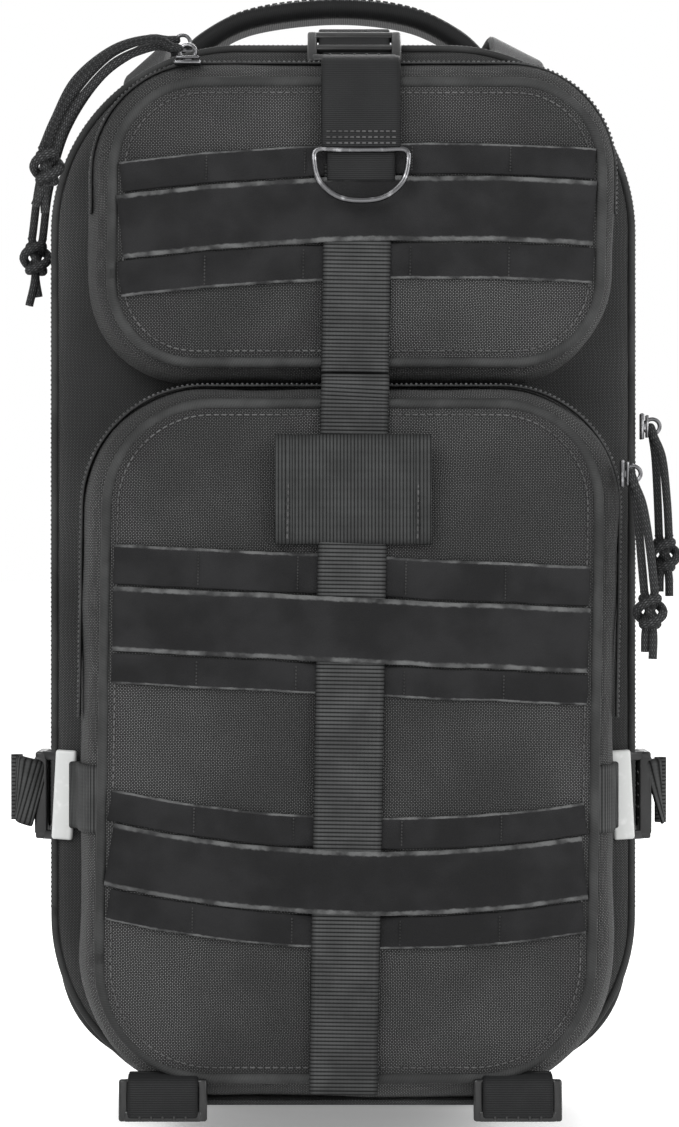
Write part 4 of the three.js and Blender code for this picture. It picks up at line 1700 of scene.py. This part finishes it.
@dataclass
class Harness:
    """Grab handle, load lifters, shoulder straps and back pad."""

    handle_width: float = 0.027
    handle_thick: float = 9.0 * MM
    lifter_width: float = 0.028
    strap_width: float = 0.060
    strap_thick: float = 10.0 * MM
    binding_reach: float = 0.0295
    stitch_reach: float = 0.0245
    loop_reach: float = 0.0285
    webbing_width: float = 0.025
    quilt_pitch: float = 0.088
    groove: float = 0.0045

    def build(self) -> None:
        """Makes the carrying parts."""
        self.build_handle()
        self.build_back()
        for name, side in SIDES:
            self.build_lifter(name, side)
            self.build_shoulder(name, side)

    def build_handle(self) -> None:
        """The arched grab handle of doubled webbing."""
        low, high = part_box("grab_handle")
        y, top = (low.y + high.y) / 2, high.z - 0.0036
        route = [(-0.0735, 0.4790), (-0.0700, 0.4865), (-0.0590, 0.4975), (-0.0380, top - 0.0045),
                 (0.0, top), (0.0340, top - 0.0035),
                 (0.0560, 0.4985), (0.0680, 0.4870), (0.0715, 0.4790)]
        path = curve_through([(x - 0.004, y, z) for x, z in route], 70)
        dress(sweep("sewn_grab_handle", path,
                    strap_section(self.handle_width, self.handle_thick, FLAT_STEPS), Y_AXIS), SMOOTH_WEB,
                    "handle", "webbing",
              "grab_handle")
        rows = [[p + Vector((0, dy, 0.0046)) for p in path[10:-10:6]] for dy in (-0.010, 0.010)]
        dress(stitches("handle_stitch", rows, 3.4 * MM, 0.35 * MM), THREAD, "handle", "webbing")

    def build_lifter(self, name: str, side: float) -> None:
        """A load lifter: webbing arched over the top rear edge.

        Args:
            name: left or right, for the pieces' names.
            side: -1 for left, 1 for right.
        """
        route = [(0.0, 0.012, -0.019), (0.0, 0.030, -0.010), (0.0, 0.046, -0.002), (-0.001, 0.060, 0.0),
                 (-0.005, 0.074, -0.006),
                 (-0.014, 0.0860, -0.021), (-0.024, 0.0925, -0.036)]
        middle, top, angle = (0.0915, 0.4905, 42) if side < 0 else (0.0815, 0.4945, 27)
        path = curve_through([(side * (middle + inward), y, top + rise) for inward, y, rise in route], 40)
        slope = Vector((math.cos(math.radians(angle)), 0, -side * math.sin(math.radians(angle))))
        dress(sweep(f"sewn_load_lifter_{name}", path,
                    strap_section(self.lifter_width, 3.6 * MM, FLAT_STEPS), slope), SMOOTH_WEB, "root",
              "webbing", f"load_lifter_{name}")

    def build_back(self) -> None:
        """The quilted back pad in air mesh."""
        low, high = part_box("back_pad")
        outline = Outline(high.x - 0.001, low.z, high.z, 0.040, 0.030)

        def depth(x: float, z: float) -> float:
            """Depth of the pad: a middle channel, rungs across it, and a drop at the edge.

            Args:
                x: X.
                z: Z.

            Returns:
                The depth.
            """
            u, v = abs(x) / outline.half, abs(z - outline.middle) / outline.rise
            channel = 0.0055 * math.exp(-((abs(x) - 0.016) / self.groove) ** 2)
            rungs = 0.0045 * math.exp(-((((z - 0.02) % self.quilt_pitch)
                                         - 0.044) / self.groove) ** 2) * (abs(x) > 0.018)
            return high.y - 0.0005 - 0.006 * max(u ** 6, v ** 8) - channel - rungs

        pad = skin("quilted_back_pad", outline, depth, [(high.y - 0.010, 0.0008), (low.y + 0.001, 0.0)],
                   wall=0.0,
                   waves=0.0006, seed=21.0)
        mesh = bmesh.new()
        mesh.from_mesh(pad.data)
        bmesh.ops.contextual_create(mesh, geom=[e for e in mesh.edges if e.is_boundary])
        mesh.to_mesh(pad.data)
        mesh.free()
        dress(pad, MESH, "root", "lining", "back_pad")

    def width_at(self, z: float) -> float:
        """A shoulder strap's share of its full width at a height: narrower and round at both ends.

        Args:
            z: Z.

        Returns:
            The share of the full width.
        """
        low, high = 0.176, 0.4545
        foot = min(max((z - low) / 0.075, 0.0), 1.0)
        head = min(max((high - z) / 0.020, 0.0), 1.0)
        return (0.60 + 0.40 * foot * foot * (3 - 2 * foot)) * (0.80 + 0.20 * math.sqrt(head))

    def taper(self, obj: bpy.types.Object, path: Sequence[Vector]) -> None:
        """Draws a strap in towards its middle line where it is narrower."""
        for vert in obj.data.vertices:
            near = min(path, key=lambda p: (p - vert.co).length_squared - (p.x - vert.co.x) ** 2)
            vert.co.x = near.x + (vert.co.x - near.x) * self.width_at(near.z)

    def build_shoulder(self, name: str, side: float) -> None:
        """A padded shoulder strap with bound edges, its webbing and ladder-lock.

        Args:
            name: left or right, for the pieces' names.
            side: -1 for left, 1 for right.
        """
        x = side * 0.05
        route = [(-0.006, 0.0935, 0.4545), (-0.002, 0.1045, 0.435), (0.000, 0.1115, 0.405),
                 (0.002, 0.1165, 0.340),
                 (0.001, 0.1145, 0.270), (-0.001, 0.1060, 0.205), (-0.003, 0.1005, 0.176)]
        path = curve_through([(x + side * dx, y, z) for dx, y, z in route], 60)
        strap = sweep(f"padded_shoulder_strap_{name}", path,
                      strap_section(self.strap_width, self.strap_thick, 12), X_AXIS)
        self.taper(strap, path)
        soften(strap, 0.004)
        body = f"shoulder_{name}"
        dress(strap, MESH, body, "fabric", f"shoulder_strap_{name}")
        ring = [p + X_AXIS * self.binding_reach * self.width_at(p.z) for p in path]
        ring += [p - X_AXIS * self.binding_reach * self.width_at(p.z) for p in reversed(path)]
        rim = sweep(f"shoulder_binding_{name}", ring, round_section(2.0 * MM, 8), closed=True)
        dress(rim, BINDING, body, "fabric")
        rows = [[p + Vector((edge * self.stitch_reach * self.width_at(p.z), 0.0054, 0))
                 for p in path[3:-3]] for edge in (-1, 1)]
        dress(stitches(f"shoulder_stitch_{name}", rows, 3.4 * MM, 0.4 * MM), THREAD, body, "fabric")
        bands = []
        for z in (0.300, 0.385):
            near = min(path, key=lambda p: abs(p.z - z))
            half = self.loop_reach * self.width_at(near.z)
            loop = [near + Vector((dx, dy, 0)) for dx,
                    dy in ((-half, 0.004), (-half * 0.8, 0.0066), (0, 0.0070),
                                                              (half * 0.8, 0.0066), (half, 0.004))]
            bands.append(sweep(f"shoulder_loop_{name}_{len(bands)}", curve_through(loop, 24),
                               strap_section(self.webbing_width, 1.8 * MM, FLAT_STEPS),
                               Z_AXIS))
        dress(joined(bands), WEBBING, body, "webbing")
        tail = curve_through([(x, 0.101, 0.190), (x, 0.099, 0.160), (x, 0.096, 0.120), (x, 0.0925, 0.062)],
                             40)
        dress(sweep(f"shoulder_webbing_{name}", tail,
                    strap_section(self.webbing_width, WEB_THICK, FLAT_STEPS), X_AXIS), WEBBING, body,
                    "webbing")
        place = Matrix.Translation((x, 0.1000, 0.168)) @ Matrix.Rotation(math.radians(-86), 4, "X")
        dress(ladder_lock(f"shoulder_lock_{name}", 0.033, 0.024, 4.0 * MM, place), PLASTIC, body, "plastic")


def soften(obj: bpy.types.Object, swell: float, frames: int = 20) -> None:
    """Swells a padded piece by a pressure simulation and keeps the result.

    Args:
        obj: the piece.
        swell: the most that a point may move.
        frames: how long the simulation runs.
    """
    grid = obj.modifiers.new("grid", "REMESH")
    grid.mode = "VOXEL"
    grid.voxel_size = 0.005
    apply_modifiers(obj)
    rest = [v.co.copy() for v in obj.data.vertices]
    cloth = obj.modifiers.new("cloth", "CLOTH")
    cloth.settings.use_pressure = True
    cloth.settings.uniform_pressure_force = 4.0
    cloth.settings.effector_weights.gravity = 0.0
    cloth.point_cache.frame_start, cloth.point_cache.frame_end = 1, frames
    scene = bpy.context.scene
    for step in range(1, frames + 1):
        scene.frame_set(step)
    apply_modifiers(obj)
    scene.frame_set(1)
    for vert, before in zip(obj.data.vertices, rest):
        move = vert.co - before
        if move.length > swell:
            vert.co = before + move.normalized() * swell
    smooth = obj.modifiers.new("smooth", "SUBSURF")
    smooth.levels = smooth.render_levels = 1
    apply_modifiers(obj)
    for face in obj.data.polygons:
        face.use_smooth = True


LOWER_GUSSET = Outline(0.1128, 0.0265, 0.3265, 0.050, 0.060)
UPPER_GUSSET = Outline(0.1112, 0.3300, 0.4650, 0.046, 0.046)


def main() -> None:
    """Builds the whole scene in order."""
    logging.basicConfig(level=logging.INFO)
    Camera().build()
    for make in (weave_cell_group, weave_group, ribs_group, fuzz_group):
        make()
    for pull in PULLS:
        pull.build()
    bag = Bag()
    bag.build()
    lower_outline = Outline(0.1020, 0.0375, 0.3180, 0.042, 0.047)
    upper_outline = Outline(0.1020, 0.3385, 0.4545, 0.036, 0.034)
    lower = PocketFace(lower_outline, -0.1155, 0.011, 3.0)
    upper = PocketFace(upper_outline, -0.1055, 0.0045, 9.0)
    Pocket("lower", "lower_flap", LOWER_GUSSET, 0.0125, lower,
           band_set("middle", 0.0995, (0.1970, 0.2105, 0.2385, 0.2560), 0.0, -0.0046)
           + band_set("lower", 0.0995, (0.0948, 0.1090, 0.1365, 0.1505), -0.0080, -0.0028),
           (-0.1135, -0.0640)).build()
    Pocket("upper", "upper_flap", UPPER_GUSSET, 0.0105, upper,
           band_set("upper", 0.1000, (0.3695, 0.3855, 0.4137, 0.4275), 0.0042, 0.0028),
           (-0.1035, -0.0640)).build()
    Webbing(lower, upper).build()
    for piece in (Zip("main_zip", "main_flap", bag.second.grown(0.0016), -0.0250, 0.070),
                  Zip("second_zip", "second_flap", bag.second.grown(0.0012), -0.0590, 0.100),
                  Zip("lower_zip", "lower_flap", LOWER_GUSSET.grown(0.0012), -0.0985, 0.185, True),
                  Zip("upper_zip", "upper_flap", UPPER_GUSSET.grown(0.0004), -0.0925, 0.400, True)):
        piece.build()
    Hardware().build()
    Harness().build()
    bpy.context.view_layer.update()


if __name__ == "__main__":
    main()
